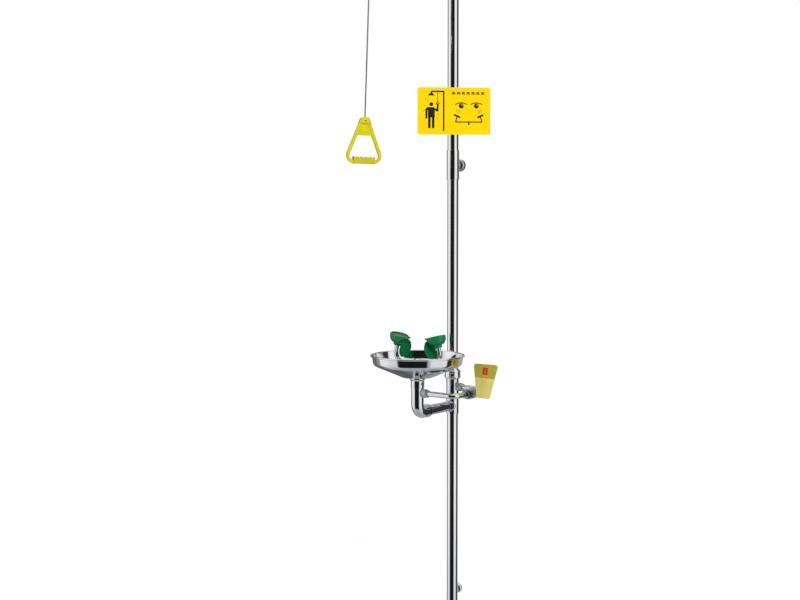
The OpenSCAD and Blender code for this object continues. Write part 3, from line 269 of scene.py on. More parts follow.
def grained(net, scale, stretch=(1, 1, 1), detail=4.0):
    """Noise in the object's own space, stretched along the way that a tool has run."""
    place = net.add("ShaderNodeTexCoord").outputs["Object"]
    mapped = net.add("ShaderNodeMapping", inputs={"Vector": place, "Scale": stretch}).outputs[0]
    return net.add("ShaderNodeTexNoise", inputs={"Vector": mapped, "Scale": scale,
        "Detail": detail}).outputs["Fac"]


def bumped(net, shader, height, strength, distance):
    bump = net.add("ShaderNodeBump", inputs={
        "Height": height, "Strength": strength, "Distance": distance})
    net.feed(shader, "Normal", bump.outputs[0])


def polished(name, along, wave=0.0006):
    """Belt-polished steel whose fine lines run round the direction `along`."""
    material, net, shader = principled(name, (0.80, 0.80, 0.81), 1.0, 0.06)
    stretch = tuple(1.0 if part else 0.02 for part in along)
    lines = grained(net, 2600.0, stretch, 3.0)
    smears = grained(net, 9.0)
    spread = net.span(smears, 0.35, 0.7, 0.035, 0.085)
    gloss = net.span(lines, 0.3, 0.7, 0.0, 0.025)
    net.feed(shader, "Roughness", net.math("ADD", spread, gloss))
    net.feed(shader, "Base Color",
             net.ramp(smears, [(0.3, (0.79, 0.79, 0.80)), (0.7, (0.83, 0.83, 0.83))]))
    bumped(net, shader, grained(net, 14.0, detail=1.0), 0.35, wave)
    return material


def satin(name, tone, low, high):
    """Tumbled or machined steel."""
    material, net, shader = principled(name, (tone,) * 3, 1.0, low)
    fine = grained(net, 900.0)
    net.feed(shader, "Roughness", net.span(fine, 0.3, 0.7, low, high))
    net.feed(shader, "Base Color",
             net.ramp(grained(net, 40.0), [(0.3, tone * 0.9), (0.7, tone * 1.06)]))
    bumped(net, shader, fine, 0.25, 0.00015)
    return material


tube_up = polished("polished tube, upright", (0, 0, 1))
tube_out = polished("polished tube, level", (0, 1, 0))
sheet_steel = polished("polished sheet", (0, 0, 1), 0.0009)
cast_steel = satin("tumbled casting", 0.50, 0.20, 0.32)
nut_steel = satin("turned nut", 0.52, 0.16, 0.28)
dark_steel = satin("pickled steel", 0.30, 0.34, 0.5)
bronze, bronze_net, bronze_shader = principled("bronze spray face", (0.50, 0.36, 0.10), 1.0, 0.35)
bronze_net.feed(bronze_shader, "Base Color", bronze_net.ramp(
    grained(bronze_net, 120.0), [(0.3, (0.42, 0.30, 0.09)), (0.7, (0.60, 0.46, 0.16))]))
print("metal finishes:", 7)

# %% [markdown]
# ## Finishes for plastic, paint and rubber
# Moulded plastic is one colour all through, with a fine spark texture from the mould and a
# little unevenness in its gloss. Powder paint has a soft orange peel.
# %% Make the other finishes
def moulded(name, colour, roughness=0.30, texture=1600.0, depth=0.00006, shift=0.10, sheen=0.5):
    """Injection-moulded plastic with its spark texture."""
    material, net, shader = principled(name, colour, 0.0, roughness)
    shader.inputs["Specular IOR Level"].default_value = sheen
    broad = grained(net, 18.0)
    dark = tuple(c * (1 - shift) for c in colour)
    bright = tuple(min(1.0, c * (1 + shift)) for c in colour)
    net.feed(shader, "Base Color", net.ramp(broad, [(0.3, dark), (0.7, bright)]))
    net.feed(shader, "Roughness", net.span(broad, 0.3, 0.7, roughness * 0.85, roughness * 1.2))
    bumped(net, shader, grained(net, texture, detail=2.0), 0.4, depth)
    return material


head_green = moulded("green moulding", (0.0, 0.21, 0.066), 0.22, sheen=0.35)
cover_green = moulded("dark green moulding", (0.0, 0.19, 0.062), 0.5, sheen=0.12)
handle_yellow = moulded("yellow moulding", (0.62, 0.54, 0.002), 0.30, sheen=0.25)
grip_yellow = moulded("yellow grip", (0.58, 0.47, 0.002), 0.36, 900.0, 0.0001, sheen=0.25)
sign_yellow = moulded("yellow sign paint", (0.93, 0.64, 0.0), 0.42, 500.0, 0.00003, 0.02, 0.12)
sign_black = moulded("black sign paint", (0.012, 0.012, 0.012), 0.42, 500.0, 0.00003)
mark_red = moulded("red print", (0.50, 0.03, 0.015), 0.45, 500.0, 0.00003, 0.1, 0.15)
white_seat = moulded("white seal", (0.84, 0.84, 0.81), 0.5)
rubber = moulded("black rubber", (0.018, 0.018, 0.018), 0.62)
print("plastic and paint finishes:", 9)

# %% [markdown]
# ## A small workshop
# Nearly every part of a pipe stand is turned on a lathe, bent from tube, or cut from plate,
# so three helpers make almost everything. They work in millimetres, as the drawings do, and
# return points and faces. `piece` then joins such shapes into one part, closes it, points its
# faces outwards, and hangs it on the body of the measured solid that it stands for.
# %% Turned, bent and cut shapes
MM = 0.001
ROUND = 96

def around(steps):
    """Even angles round a full circle."""
    return [2 * pi * k / steps for k in range(steps)]

def arc_points(centre, radius, start, end, steps=10):
    """Points along an arc between two angles in degrees, both ends included."""
    angles = [radians(start + (end - start) * k / steps) for k in range(steps + 1)]
    return [(centre[0] + radius * cos(a), centre[1] + radius * sin(a)) for a in angles]

def disc_outline(radius, centre=(0, 0), steps=48):
    return arc_points(centre, radius, 0, 360, steps)[:-1]

def moved(*place):
    return Matrix.Translation(place)

def spin(axis, turn):
    """A turn in degrees round one axis."""
    return Matrix.Rotation(radians(turn), 4, axis)


def softened(profile, radius, steps=3):
    """The same closed outline with its corners rounded."""
    result = []
    for index, point in enumerate(profile):
        here = Vector(point)
        back = Vector(profile[index - 1]) - here
        ahead = Vector(profile[(index + 1) % len(profile)]) - here
        half = back.angle(ahead, 0.0) / 2
        if radius <= 0 or here.x < 1e-6 or not 0.01 < half < radians(84):
            result.append(tuple(here))
            continue
        reach = min(radius / tan(half), 0.45 * back.length, 0.45 * ahead.length)
        start, end = here + back.normalized() * reach, here + ahead.normalized() * reach
        for step in range(steps + 1):
            t = step / steps
            result.append(tuple(start * (1 - t) ** 2 + here * 2 * t * (1 - t) + end * t * t))
    return result


def loft(rings):
    """Joins rings of equal count into one closed band; the last ring joins the first."""
    count = len(rings[0])
    points = [point for ring in rings for point in ring]
    faces = []
    for i in range(len(rings)):
        j = (i + 1) % len(rings)
        faces += [(i * count + k, i * count + (k + 1) % count,
                   j * count + (k + 1) % count, j * count + k) for k in range(count)]
    return points, faces


def placed(shape, matrix):
    points, faces = shape
    return [matrix @ Vector(point) for point in points], faces


def turned(profile, matrix=Matrix(), soft=0.5, steps=ROUND):
    """A profile of (radius, height) points, turned round its own Z axis."""
    rings = [[(r * cos(a), r * sin(a), z) for a in around(steps)]
             for r, z in softened(profile, soft)]
    return placed(loft(rings), matrix)


def tube(outer, inner, start, end, matrix=Matrix(), soft=0.3):
    return turned([(inner, start), (outer, start), (outer, end), (inner, end)], matrix, soft)


def axis_frame(origin, along):
    """A frame at origin whose Z axis points along a direction."""
    z = Vector(along).normalized()
    x = Vector((1, 0, 0)) if abs(z.x) < 0.9 else Vector((0, 1, 0))
    y = z.cross(x).normalized()
    x = y.cross(z)
    matrix = Matrix((x, y, z)).transposed().to_4x4()
    matrix.translation = Vector(origin)
    return matrix


def forward(*origin):
    return axis_frame(origin, (0, -1, 0))


def backward(*origin):
    return axis_frame(origin, (0, 1, 0))


def rightward(*origin):
    return axis_frame(origin, (1, 0, 0))


def leftward(*origin):
    return axis_frame(origin, (-1, 0, 0))


def route(corners, radius, steps=28):
    """A path through corners, each rounded with a true arc as a pipe bender makes it."""
    path = [Vector(corners[0])]
    for before, corner, after in zip(corners, corners[1:], corners[2:]):
        here = Vector(corner)
        back = (Vector(before) - here).normalized()
        ahead = (Vector(after) - here).normalized()
        half = back.angle(ahead) / 2
        centre = here + (back + ahead).normalized() * radius / sin(half)
        spoke = here + back * radius / tan(half) - centre
        axis = spoke.cross(here + ahead * radius / tan(half) - centre).normalized()
        for step in range(steps + 1):
            turn = Matrix.Rotation((pi - 2 * half) * step / steps, 3, axis)
            path.append(centre + turn @ spoke)
    return path + [Vector(corners[-1])]


def fillet(before, corner, after, radius, steps=12):
    """Points of a true arc that rounds one corner of a flat outline."""
    path = route([(*before, 0), (*corner, 0), (*after, 0)], radius, steps)[1:-1]
    return [(p.x, p.y) for p in path]

def rounded_outline(corners, radii, steps=8):
    """A closed outline whose corners are arcs."""
    result = []
    for index, (corner, radius) in enumerate(zip(corners, radii)):
        after = corners[(index + 1) % len(corners)]
        result += fillet(corners[index - 1], corner, after, radius, steps)
    return result

def bent(path, outer, inner=0.0, steps=64, chamfer=0.3):
    """A round tube or bar that follows a path."""
    def eased(tip, after):
        return tip.lerp(after, min(0.4, chamfer / (after - tip).length))

    path = ([path[0], eased(path[0], path[1])] + path[1:-1]
            + [eased(path[-1], path[-2]), path[-1]])
    heading = (path[1] - path[0]).normalized()
    side = axis_frame(path[0], heading).to_3x3().col[0]
    rings = []
    for index, point in enumerate(path):
        ahead = path[min(index + 1, len(path) - 1)] - path[max(index - 1, 0)]
        fresh = ahead.normalized()
        side = (heading.rotation_difference(fresh) @ side).normalized()
        side = (side - fresh * side.dot(fresh)).normalized()
        heading = fresh
        rings.append((point, side, heading.cross(side)))

    def ring(index, radius):
        centre, x, y = rings[index]
        return [centre + x * radius * cos(a) + y * radius * sin(a) for a in around(steps)]

    last = len(path) - 1
    outside = [ring(i, outer - (chamfer if i in (0, last) else 0)) for i in range(last + 1)]
    inside = [ring(i, inner) for i in ((last, 0) if inner <= 0 else range(last, -1, -1))]
    return loft(outside + inside)


def cut_plate(outlines, thickness, bevel, matrix, rounds=3):
    """Plate cut to outlines, the first one outside and the others holes, with eased edges."""
    curve = bpy.data.curves.new("outline", "CURVE")
    curve.dimensions = "2D"
    curve.fill_mode = "BOTH"
    curve.extrude = thickness / 2 - bevel
    curve.bevel_depth = bevel
    curve.bevel_resolution = rounds
    curve.offset = -bevel
    for outline in outlines:
        spline = curve.splines.new("POLY")
        spline.points.add(len(outline) - 1)
        for spot, (x, y) in zip(spline.points, outline):
            spot.co = (x, y, 0, 1)
        spline.use_cyclic_u = True
    holder = linked("outline", curve)
    depsgraph = bpy.context.evaluated_depsgraph_get()
    mesh = bpy.data.meshes.new_from_object(holder.evaluated_get(depsgraph))
    shape = [v.co.copy() for v in mesh.vertices], [tuple(p.vertices) for p in mesh.polygons]
    bpy.data.objects.remove(holder)
    bpy.data.curves.remove(curve)
    bpy.data.meshes.remove(mesh)
    return placed(shape, matrix)


def hexagon(across, low, high, bore, matrix, steps=120):
    """A nut or hexagon end: flats with the round chamfer that its lathe leaves."""
    def ring(radius_at, z):
        return [(radius_at(a) * cos(a), radius_at(a) * sin(a), z(a))
                for a in around(steps)]

    def flat(a):
        return across / 2 / cos((a % (pi / 3)) - pi / 6)

    face = across / 2 * 0.96

    def drop(a):
        return (flat(a) - face) * 0.55 + 0.15

    rings = [ring(lambda a: bore, lambda a: low), ring(lambda a: face, lambda a: low),
             ring(flat, lambda a: low + drop(a)), ring(flat, lambda a: high - drop(a)),
             ring(lambda a: face, lambda a: high), ring(lambda a: bore, lambda a: high)]
    return placed(loft(rings), matrix)


def saddle(outer, branch, matrix, thick=1.1):
    """The smooth seam where a branch of one radius leaves a sleeve of another."""
    points = []
    for a in around(ROUND):
        x, y = branch * cos(a), branch * sin(a)
        points.append(Vector((x, y, sqrt(max(outer ** 2 - x ** 2, 0)))))
    rings = []
    for k, point in enumerate(points):
        ahead = (points[(k + 1) % ROUND] - points[k - 1]).normalized()
        side = ahead.cross(Vector((point.x, point.y, 0)).normalized()).normalized()
        out = side.cross(ahead)
        rings.append([point + (out * cos(t) + side * sin(t)) * thick for t in around(10)])
    return placed(loft(rings), matrix)


# %% [markdown]
# ## From shapes to a finished part
# A finished part is one closed mesh. Its doubles are merged first and its faces turned
# outwards after that. Faces shade smoothly, and edges sharper than a set angle stay crisp.
# %% Join, close and name a part
made = []
MERGE = 2e-6

def finish_mesh(mesh, angle, drawn_here=True):
    """Merges doubles, and turns outwards the faces of a mesh that was drawn here."""
    build = bmesh.new()
    build.from_mesh(mesh)
    bmesh.ops.remove_doubles(build, verts=build.verts, dist=MERGE)
    if drawn_here:
        loose = [edge for edge in build.edges if not edge.link_faces]
        bmesh.ops.delete(build, geom=loose, context="EDGES")
        bmesh.ops.recalc_face_normals(build, faces=build.faces)
    else:
        bmesh.ops.dissolve_degenerate(build, edges=build.edges, dist=1e-7)
    build.to_mesh(mesh)
    build.free()
    mesh.shade_smooth()
    mesh.set_sharp_from_angle(angle=radians(angle))

def own(obj, node, stands_for=True):
    """The piece rides with a measured solid's body, and may replace it."""
    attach(obj, nodes[node]["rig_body"])
    if stands_for:
        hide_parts(node)
    made.append(obj)

def piece(name, shapes, finish, node, stands_for=True, angle=32):
    points, faces = [], []
    for shape_points, shape_faces in shapes:
        start = len(points)
        points += [Vector(point) * MM for point in shape_points]
        faces += [tuple(start + index for index in face) for face in shape_faces]
    mesh = bpy.data.meshes.new(name)
    mesh.from_pydata(points, [], faces)
    finish_mesh(mesh, angle)
    mesh.materials.append(finish)
    own(linked(name, mesh), node, stands_for)

def smoothed(node, finish):
    """A merged copy of a measured solid that shades smoothly."""
    source = nodes[node].data
    mesh = bpy.data.meshes.new(node + "_smooth")
    mesh.from_pydata([v.co.copy() for v in source.vertices], [],
        [tuple(p.vertices) for p in source.polygons])
    finish_mesh(mesh, 30, False)
    mesh.materials.append(finish)
    own(linked(node + "_smooth", mesh), node)

def keep(node, finish):
    """A measured solid that is right as it is gets only its finish."""
    mesh = nodes[node].data
    mesh.materials.clear()
    mesh.materials.append(finish)


# %% [markdown]
# ## The column
# Four lengths of 38 mm tube stand on each other inside the fittings. Each is a plain turned
# wall. The lower one carries the drain outlet, and the middle one the collar of the union.
# %% Turn the column
COLUMN, COLUMN_BORE, SLEEVE = 19.0, 17.5, 21.5
ARM_Z, SUPPLY_Z, DRAIN_Z = 2255, 836, 770
BOWL_Y, HEAD_Y = -203, -640


def stub(height, radius, bore, shoulder, reach, core):
    """A threaded stub that points back from the column; the thread is added later."""
    return turned([(bore, 14), (radius, 14), (radius, shoulder), (radius - 1.5, shoulder),
        (radius - 1.5, shoulder + 2), (core, shoulder + 2), (core, reach - 1.2),
        (core - 1.0, reach), (bore, reach)], backward(0, 0, height), 0.3)


piece("column_lower", [tube(COLUMN, COLUMN_BORE, 8, 756), stub(122, 17.0, 13.5, 22, 40, 16.0),
    saddle(COLUMN, 17.0, backward(0, 0, 122))], tube_up, "lower_column")
piece("column_between_tees", [tube(COLUMN, COLUMN_BORE, 784, 824)], tube_up, "column_spool")
piece("column_middle", [turned([(17.5, 881), (24, 881), (24, 885), (21.5, 885), (21.5, 899),
    (19, 900.2), (19, 1564), (17.5, 1564)])], tube_up, "mid_column")
piece("column_upper", [tube(COLUMN, COLUMN_BORE, 1636, 2210)], tube_up, "upper_column")
piece("arm_rear_tube", [tube(COLUMN, COLUMN_BORE, 45, 196, forward(0, 0, ARM_Z))],
      tube_out, "arm_rear")
piece("arm_front_tube", [tube(COLUMN, COLUMN_BORE, 264, 595, forward(0, 0, ARM_Z))],
      tube_out, "arm_front")
print("column and arm tubes:", len(made))

# %% [markdown]
# ## Tees, elbows and the union
# A fitting is a sleeve with a socket at each open end. Where a branch leaves a sleeve the two
# round walls meet in a saddle-shaped line. A polisher leaves a soft seam there, so a thin
# bead follows that line.
# %% Turn and bend the fittings
piece("drain_tee_fitting", [turned([(17.5, 756), (19.1, 756), (19.1, 742), (21.5, 742), (21.5, 798),
    (19.1, 798), (19.1, 784), (17.5, 784)], soft=0.7), turned([(14.85, 17), (19.35, 17),
    (19.35, 36), (16.95, 36), (16.95, 24), (14.85, 24)], forward(0, 0, DRAIN_Z), 0.7),
    saddle(SLEEVE, 19.35, forward(0, 0, DRAIN_Z), 1.4)], tube_up, "drain_tee")
piece("supply_tee_fitting", [turned([(17.5, 824), (19.1, 824), (19.1, 810), (21.5, 810),
    (21.5, 862), (23, 862.6), (23, 879), (17.5, 879)], soft=0.7),
    turned([(7.5, 17), (12, 17), (12, 34.5), (7.5, 34.5)], rightward(0, 0, SUPPLY_Z)),
    saddle(SLEEVE, 12, rightward(0, 0, SUPPLY_Z) @ spin("Z", 90))], tube_up, "supply_tee")
piece("inlet_tee_fitting", [turned([(17.5, 1564), (19.1, 1564), (19.1, 1550), (21.5, 1550),
    (21.5, 1650), (19.1, 1650), (19.1, 1636), (17.5, 1636)], soft=0.7)], tube_up, "inlet_tee")
piece("inlet_stub", [stub(1600, 21.2, 17, 24.5, 49, 20.1),
    saddle(SLEEVE, 21.2, backward(0, 0, 1600))], nut_steel, "inlet_tee", stands_for=False)
piece("union_ring", [turned([(23.1, 866), (25.6, 866), (28, 869), (28, 874), (27.3, 874.6),
    (27.3, 885.4), (28, 886), (28, 891), (25.6, 894), (21.6, 894), (21.6, 885), (24.1, 885),
    (24.1, 879), (23.1, 879)], soft=0.9)], tube_up, "union_nut")
piece("elbow_top", [bent(route([(0, 0, 2196), (0, 0, ARM_Z), (0, -59, ARM_Z)], 45), SLEEVE, 17.5,
    ROUND, 0.7)], tube_out, "top_elbow")
piece("elbow_drop", [bent(route([(0, -581, ARM_Z), (0, HEAD_Y, ARM_Z), (0, HEAD_Y, 2208)], 45),
    SLEEVE, 17.5, ROUND, 0.7), tube(17, 14, 2188, 2212, moved(0, HEAD_Y, 0))], tube_out,
    "drop_elbow")
smoothed("base_flange", cast_steel)
keep("column_stop", dark_steel)

# %% [markdown]
# ## Outside threads
# A pipe thread is one ridge that climbs round a core. Geometry Nodes have a Spiral curve that
# does just that: a small triangular profile is swept along it. The tree has named sizes, so
# the same tree cuts the wide inlet thread and the narrow drain thread.
# %% A tree for threads
class Grower(Nodes):
    """A geometry tree with named inputs and one mesh output."""

    def __init__(self, name, sizes):
        super().__init__(bpy.data.node_groups.new(name, "GeometryNodeTree"))
        face = self.tree.interface
        face.new_socket("Mesh", in_out="OUTPUT", socket_type="NodeSocketGeometry")
        for label, kind, value in sizes:
            face.new_socket(label, in_out="INPUT", socket_type=kind).default_value = value
        face.new_socket("Finish", in_out="INPUT", socket_type="NodeSocketMaterial")
        self.sizes = self.tree.nodes.new("NodeGroupInput").outputs

    def loop(self, corners, size):
        """A ring of some corners whose radius is a named size."""
        return self.add("GeometryNodeCurvePrimitiveCircle", inputs={
            "Resolution": corners, "Radius": self.sizes[size]}).outputs[0]

    def sweep(self, path, section, caps=False):
        return self.add("GeometryNodeCurveToMesh", inputs={
            "Curve": path, "Profile Curve": section, "Fill Caps": caps}).outputs[0]

    def close(self, geometry):
        """Realises the copies and sets their finish, then ends the tree."""
        real = self.add("GeometryNodeRealizeInstances", inputs={0: geometry})
        painted = self.add("GeometryNodeSetMaterial", inputs={"Geometry": real.outputs[0],
            "Material": self.sizes["Finish"]})
        self.add("NodeGroupOutput", inputs={0: painted.outputs[0]})


def grow(tree, name, sizes, finish, node, matrix=Matrix(), angle=32):
    """Runs a tree once and keeps its result as a plain mesh on the node's body."""
    seed = linked(name, bpy.data.meshes.new(name))
    modifier = seed.modifiers.new("grow", "NODES")
    modifier.node_group = tree.tree
    for item in tree.tree.interface.items_tree:
        if item.in_out == "INPUT":
            modifier[item.identifier] = finish if item.name == "Finish" else sizes.get(
                item.name, item.default_value)
    depsgraph = bpy.context.evaluated_depsgraph_get()
    mesh = bpy.data.meshes.new_from_object(seed.evaluated_get(depsgraph))
    bpy.data.objects.remove(seed)
    mesh.name = name
    mesh.transform(Matrix.Scale(MM, 4) @ matrix)
    finish_mesh(mesh, angle)
    if not mesh.materials or mesh.materials[0] is None:
        mesh.materials.clear()
        mesh.materials.append(finish)
    print(name, "faces:", len(mesh.polygons))
    own(linked(name, mesh), node, stands_for=False)


FLOAT, WHOLE = "NodeSocketFloat", "NodeSocketInt"
thread = Grower("pipe thread", [("Radius", FLOAT, 16.0), ("Length", FLOAT, 14.0),
    ("Pitch", FLOAT, 2.3), ("Depth", FLOAT, 1.0)])
thread_turns = thread.math("DIVIDE", thread.sizes["Length"], thread.sizes["Pitch"])
spiral = thread.add("GeometryNodeCurveSpiral", inputs={
    "Resolution": 40, "Rotations": thread_turns, "Start Radius": thread.sizes["Radius"],
    "End Radius": thread.sizes["Radius"], "Height": thread.sizes["Length"]})
thread.close(thread.sweep(spiral.outputs[0], thread.loop(4, "Depth"), True))
grow(thread, "drain_thread", {"Radius": 16.0, "Length": 13.0, "Depth": 0.98}, tube_out,
     "lower_column", backward(0, 25.2, 122), 60)
grow(thread, "inlet_thread", {"Radius": 20.2, "Length": 19.0, "Depth": 0.98}, nut_steel,
     "inlet_tee", backward(0, 28, 1600), 60)

# %% [markdown]
# ## Ball valves
# Both valves are the same design in two sizes: a turned barrel, hexagon ends for a spanner, a
# boss for the stem, and a gland nut that presses the stem's packing. One function makes both.
# %% Build the two valves
def valve(matrix, barrel, half, middle, hexa, tube_r, bore, boss, boss_r, gland_across, gland):
    """Barrel, hexagon ends and gland of one valve; its stem leaves along local X."""
    along = matrix @ backward(0, 0, 0)
    stem = matrix @ rightward(0, 0, 0)
    cavity = barrel * 0.75
    body = [turned([(cavity, -middle + 9), (cavity, middle), (barrel, middle), (barrel, -middle),
        (bore, -middle), (bore, -middle + 9)], along, barrel * 0.10),
        hexagon(hexa, -half, -middle + 0.5, tube_r, along),
        turned([(boss_r * 0.6, barrel * 0.8), (boss_r + 1.5, barrel * 0.8),
        (boss_r + 1.5, barrel + 0.5), (boss_r, barrel + 1.5), (boss_r, barrel + boss),
        (boss_r * 0.6, barrel + boss)], stem, 0.6)]
    end = [hexagon(hexa, middle + 0.1, half, tube_r, along),
           tube(cavity - 0.1, bore, middle - 8, middle + 0.4, along)]
    nut = [hexagon(gland_across, barrel + boss, barrel + boss + gland, gland_across * 0.27, stem)]
    return body, end, nut


shower_place = moved(0, -230, ARM_Z) @ spin("Z", 180)
eyewash_place = moved(150, -113, SUPPLY_Z)
big = valve(shower_place, 30, 48, 33, 50, 19.1, 15, 6, 13, 22, 8)
small = valve(eyewash_place, 17.5, 31, 17, 27, 9.1, 5.5, 4, 8, 14, 6)
piece("shower_valve_barrel", big[0], cast_steel, "shower_valve_body")
piece("eyewash_valve_barrel", small[0], cast_steel, "eyewash_valve_body")
piece("valve_screwed_ends", big[1] + small[1], cast_steel, "valve_ends")
piece("valve_gland_nuts", big[2] + small[2], nut_steel, "gland_nuts")
for inner, finish in (("valve_seats", white_seat), ("shower_ball", sheet_steel),
        ("eyewash_ball", sheet_steel), ("seals", rubber)):
    keep(inner, finish)
smoothed("shower_stem", nut_steel)
smoothed("eyewash_stem", nut_steel)

# %% [markdown]
# ## Shower lever and pull rod
# The lever is flat bar with two round ends, so it is cut from plate. The rod is one round bar,
# bent to a pin that goes through the lever's eye. Its riveted head and collar keep it there.
# %% Cut the lever and bend the rod
LEVER_RISE = radians(15)
STEM = Vector((-46.9, -230, ARM_Z))
reach = Vector((0, -cos(LEVER_RISE), sin(LEVER_RISE)))
EYE = STEM + reach * 184
lever_frame = Matrix((reach, Vector((0, sin(LEVER_RISE), cos(LEVER_RISE))),
    Vector((-1, 0, 0)))).transposed().to_4x4()
lever_frame.translation = STEM


def bar_outline(length, hub, eye, half_width, steps=24):
    """A flat bar with a round hub at 0 and a round eye at its far end."""
    hub_turn = degrees(asin(half_width / hub))
    eye_turn = degrees(asin(half_width / eye))
    return (arc_points((0, 0), hub, hub_turn, 360 - hub_turn, steps)
            + arc_points((length, 0), eye, 180 + eye_turn, 540 - eye_turn, steps))


piece("shower_lever_bar", [cut_plate([bar_outline(184, 15, 10, 9), disc_outline(6.1),
    disc_outline(2.55, (184, 0))], 5, 0.7, lever_frame)], cast_steel, "shower_lever")
piece("shower_lever_nut", [hexagon(19, 49.4, 56.4, 6.1, leftward(0, -230, ARM_Z))],
      nut_steel, "lever_nut")
LEAN = radians(2.46)
rod_down = Vector((-sin(LEAN), 0, -cos(LEAN)))
bend_top = Vector((-41.4 + 8 * cos(LEAN), EYE.y, EYE.z - 8 - 8 * sin(LEAN)))
handle_top = bend_top + rod_down * ((bend_top.z - 1737) / cos(LEAN))
rod_corner = bend_top - rod_down * ((EYE.z - bend_top.z) / cos(LEAN))
rod_path = route([(-52.4, EYE.y, EYE.z), rod_corner, handle_top + rod_down * 19.9], 8)
piece("pull_rod_bar", [bent(rod_path, 2.5, 0, 32), turned([(0, 50.4), (5, 50.4), (4.6, 51.6),
    (3.2, 52.4), (0, 52.6)], leftward(0, EYE.y, EYE.z)),
    turned([(0, 39.9), (4.5, 39.9), (4.5, 42.9), (0, 42.9)], leftward(0, EYE.y, EYE.z))], nut_steel,
    "pull_rod")
print("the rod hangs to", round(handle_top.z), "mm")

# %% [markdown]
# ## Pull handle
# The yellow handle is a moulding: a rounded triangle with full, soft edges, a thinner web
# under its cap, and a grip sleeve with finger bumps over its lower bar. The sleeve's section
# is a rounded square whose top rises and falls along the bar.
# %% Mould the handle
handle_frame = (Matrix.Translation(handle_top) @ Matrix.Rotation(LEAN, 4, "Y") @ spin("Z", 57))
upright_frame = handle_frame @ spin("X", 90)
FLARE = tan(radians(21.5))
BAR = 11 / cos(radians(21.5))


def half_width(drop):
    return 13 + drop * FLARE


def trapezium(top, foot, inset, radii):
    """A four-sided outline between two heights of the handle, with rounded corners."""
    wide, narrow = half_width(foot) - inset, half_width(top) - inset
    return rounded_outline([(-narrow, -top), (-wide, -foot), (wide, -foot), (narrow, -top)], radii)


pin_hole = disc_outline(2.75, (0, -11), 24)
piece("pull_handle_moulding", [cut_plate([trapezium(0, 147, 0, [9, 26, 26, 9]),
    trapezium(19.5, 135, BAR, [3, 12, 12, 3])], 12, 3.2, upright_frame, 4),
    cut_plate([trapezium(16, 57, BAR - 2.5, [3, 2, 2, 3])], 7, 0.8, upright_frame),
    cut_plate([trapezium(0, 19.5, -0.4, [9, 2, 2, 9]), pin_hole], 20, 2.6, upright_frame, 4)],
    handle_yellow, "pull_handle")


def grip_section(x, grow=0.0):
    """One ring of the grip sleeve at a place along the bar."""
    bumps = 1.4 * cos(radians(x * 360 * 5 / 72 + 180)) - 1.4
    ring = []
    for a in around(48):
        c, s = cos(a), sin(a)
        y = copysign(abs(c) ** 0.55, c) * (11 + grow)
        z = copysign(abs(s) ** 0.55, s) * (12 + grow)
        if s > 0:
            z += bumps * s ** 0.5 if grow <= 0 else -0.6
        ring.append((x, y, z))
    return ring


grip_rings = [[(-36, 0, 0)] * 48, grip_section(-36, -1.2), grip_section(-35.6, 0.2),
    grip_section(-32.4, 0.2), grip_section(-32.0, -0.6)]
grip_rings += [grip_section(-31.5 + 66.5 * k / 90, -0.6) for k in range(91)]
grip_rings += [grip_section(35.7, -1.0), grip_section(36, -2.2), [(36, 0, 0)] * 48]
piece("pull_handle_grip", [placed(loft(grip_rings), handle_frame @ moved(0, 0, -136))],
      grip_yellow, "handle_grip", angle=50)
smoothed("handle_pin", dark_steel)

# %% [markdown]
# ## Shower head
# The head is a spun dome. Its outline is a quarter of an ellipse that ends in a short upright
# rim, and its wall is the same outline moved inwards. The spray plate closes it below, and
# each of its holes has a raised collar that shapes the jet.
# %% Spin the shower head
def wall(path, thickness):
    """The closed outline of a sheet of even thickness along a path."""
    sides = [[], []]
    for index, point in enumerate(path):
        ahead = (Vector(path[min(index + 1, len(path) - 1)]) -
            Vector(path[max(index - 1, 0)])).normalized()
        normal = Vector((-ahead.y, ahead.x)) * thickness / 2
        sides[0].append(tuple(Vector(point) + normal))
        sides[1].append(tuple(Vector(point) - normal))
    return sides[0] + sides[1][::-1]


HEAD_FOOT, HEAD_RIM = 2118, 124.3
dome = [(17 + (HEAD_RIM - 17) * sin(a), 8 + 54 * cos(a))
        for a in (pi / 2 * k / 40 for k in range(41))] + [(HEAD_RIM, 0)]
head_place = moved(0, HEAD_Y, HEAD_FOOT)
piece("shower_head_dome", [turned(wall(dome, 1.4), head_place, 0, 160),
    turned([(HEAD_RIM - 1.6, 0.2), (HEAD_RIM - 0.4, -0.0), (HEAD_RIM + 0.7, 0.9),
    (HEAD_RIM + 0.7, 3), (HEAD_RIM - 1.0, 3.2)], head_place, 0.4, 160),
    turned([(14, 58), (23, 58), (23, 84), (21, 88), (17.1, 88), (17.1, 70), (14, 70)], head_place,
    0.9)], sheet_steel, "shower_head")
smoothed("plate_posts", nut_steel)
smoothed("spray_plate", sheet_steel)
smoothed("plate_screws", nut_steel)

COLLAR_SIZES = [("Ring pitch", FLOAT, 26.0), ("Collar radius", FLOAT, 2.7), ("Wire", FLOAT, 0.6)]


def collar_tree(name, rings, first_turn):
    """One small wire ring on each hole, where circle k has 6 k holes."""
    net = Grower(name, COLLAR_SIZES)
    collar = net.sweep(net.loop(14, "Collar radius"), net.loop(6, "Wire"))
    joined = net.add("GeometryNodeJoinGeometry")
    for ring in range(1, rings + 1):
        circle = net.add("GeometryNodeMeshCircle", inputs={"Vertices": 6 * ring,
            "Radius": net.math("MULTIPLY", net.sizes["Ring pitch"], float(ring))})
        turned_circle = net.add("GeometryNodeTransform", inputs={
            "Geometry": circle.outputs[0], "Rotation": (0, 0, first_turn / ring)})
        copies = net.add("GeometryNodeInstanceOnPoints",
            inputs={"Points": turned_circle.outputs[0], "Instance": collar})
        net.tree.links.new(copies.outputs[0], joined.inputs[0])
    net.close(joined.outputs[0])
    return net


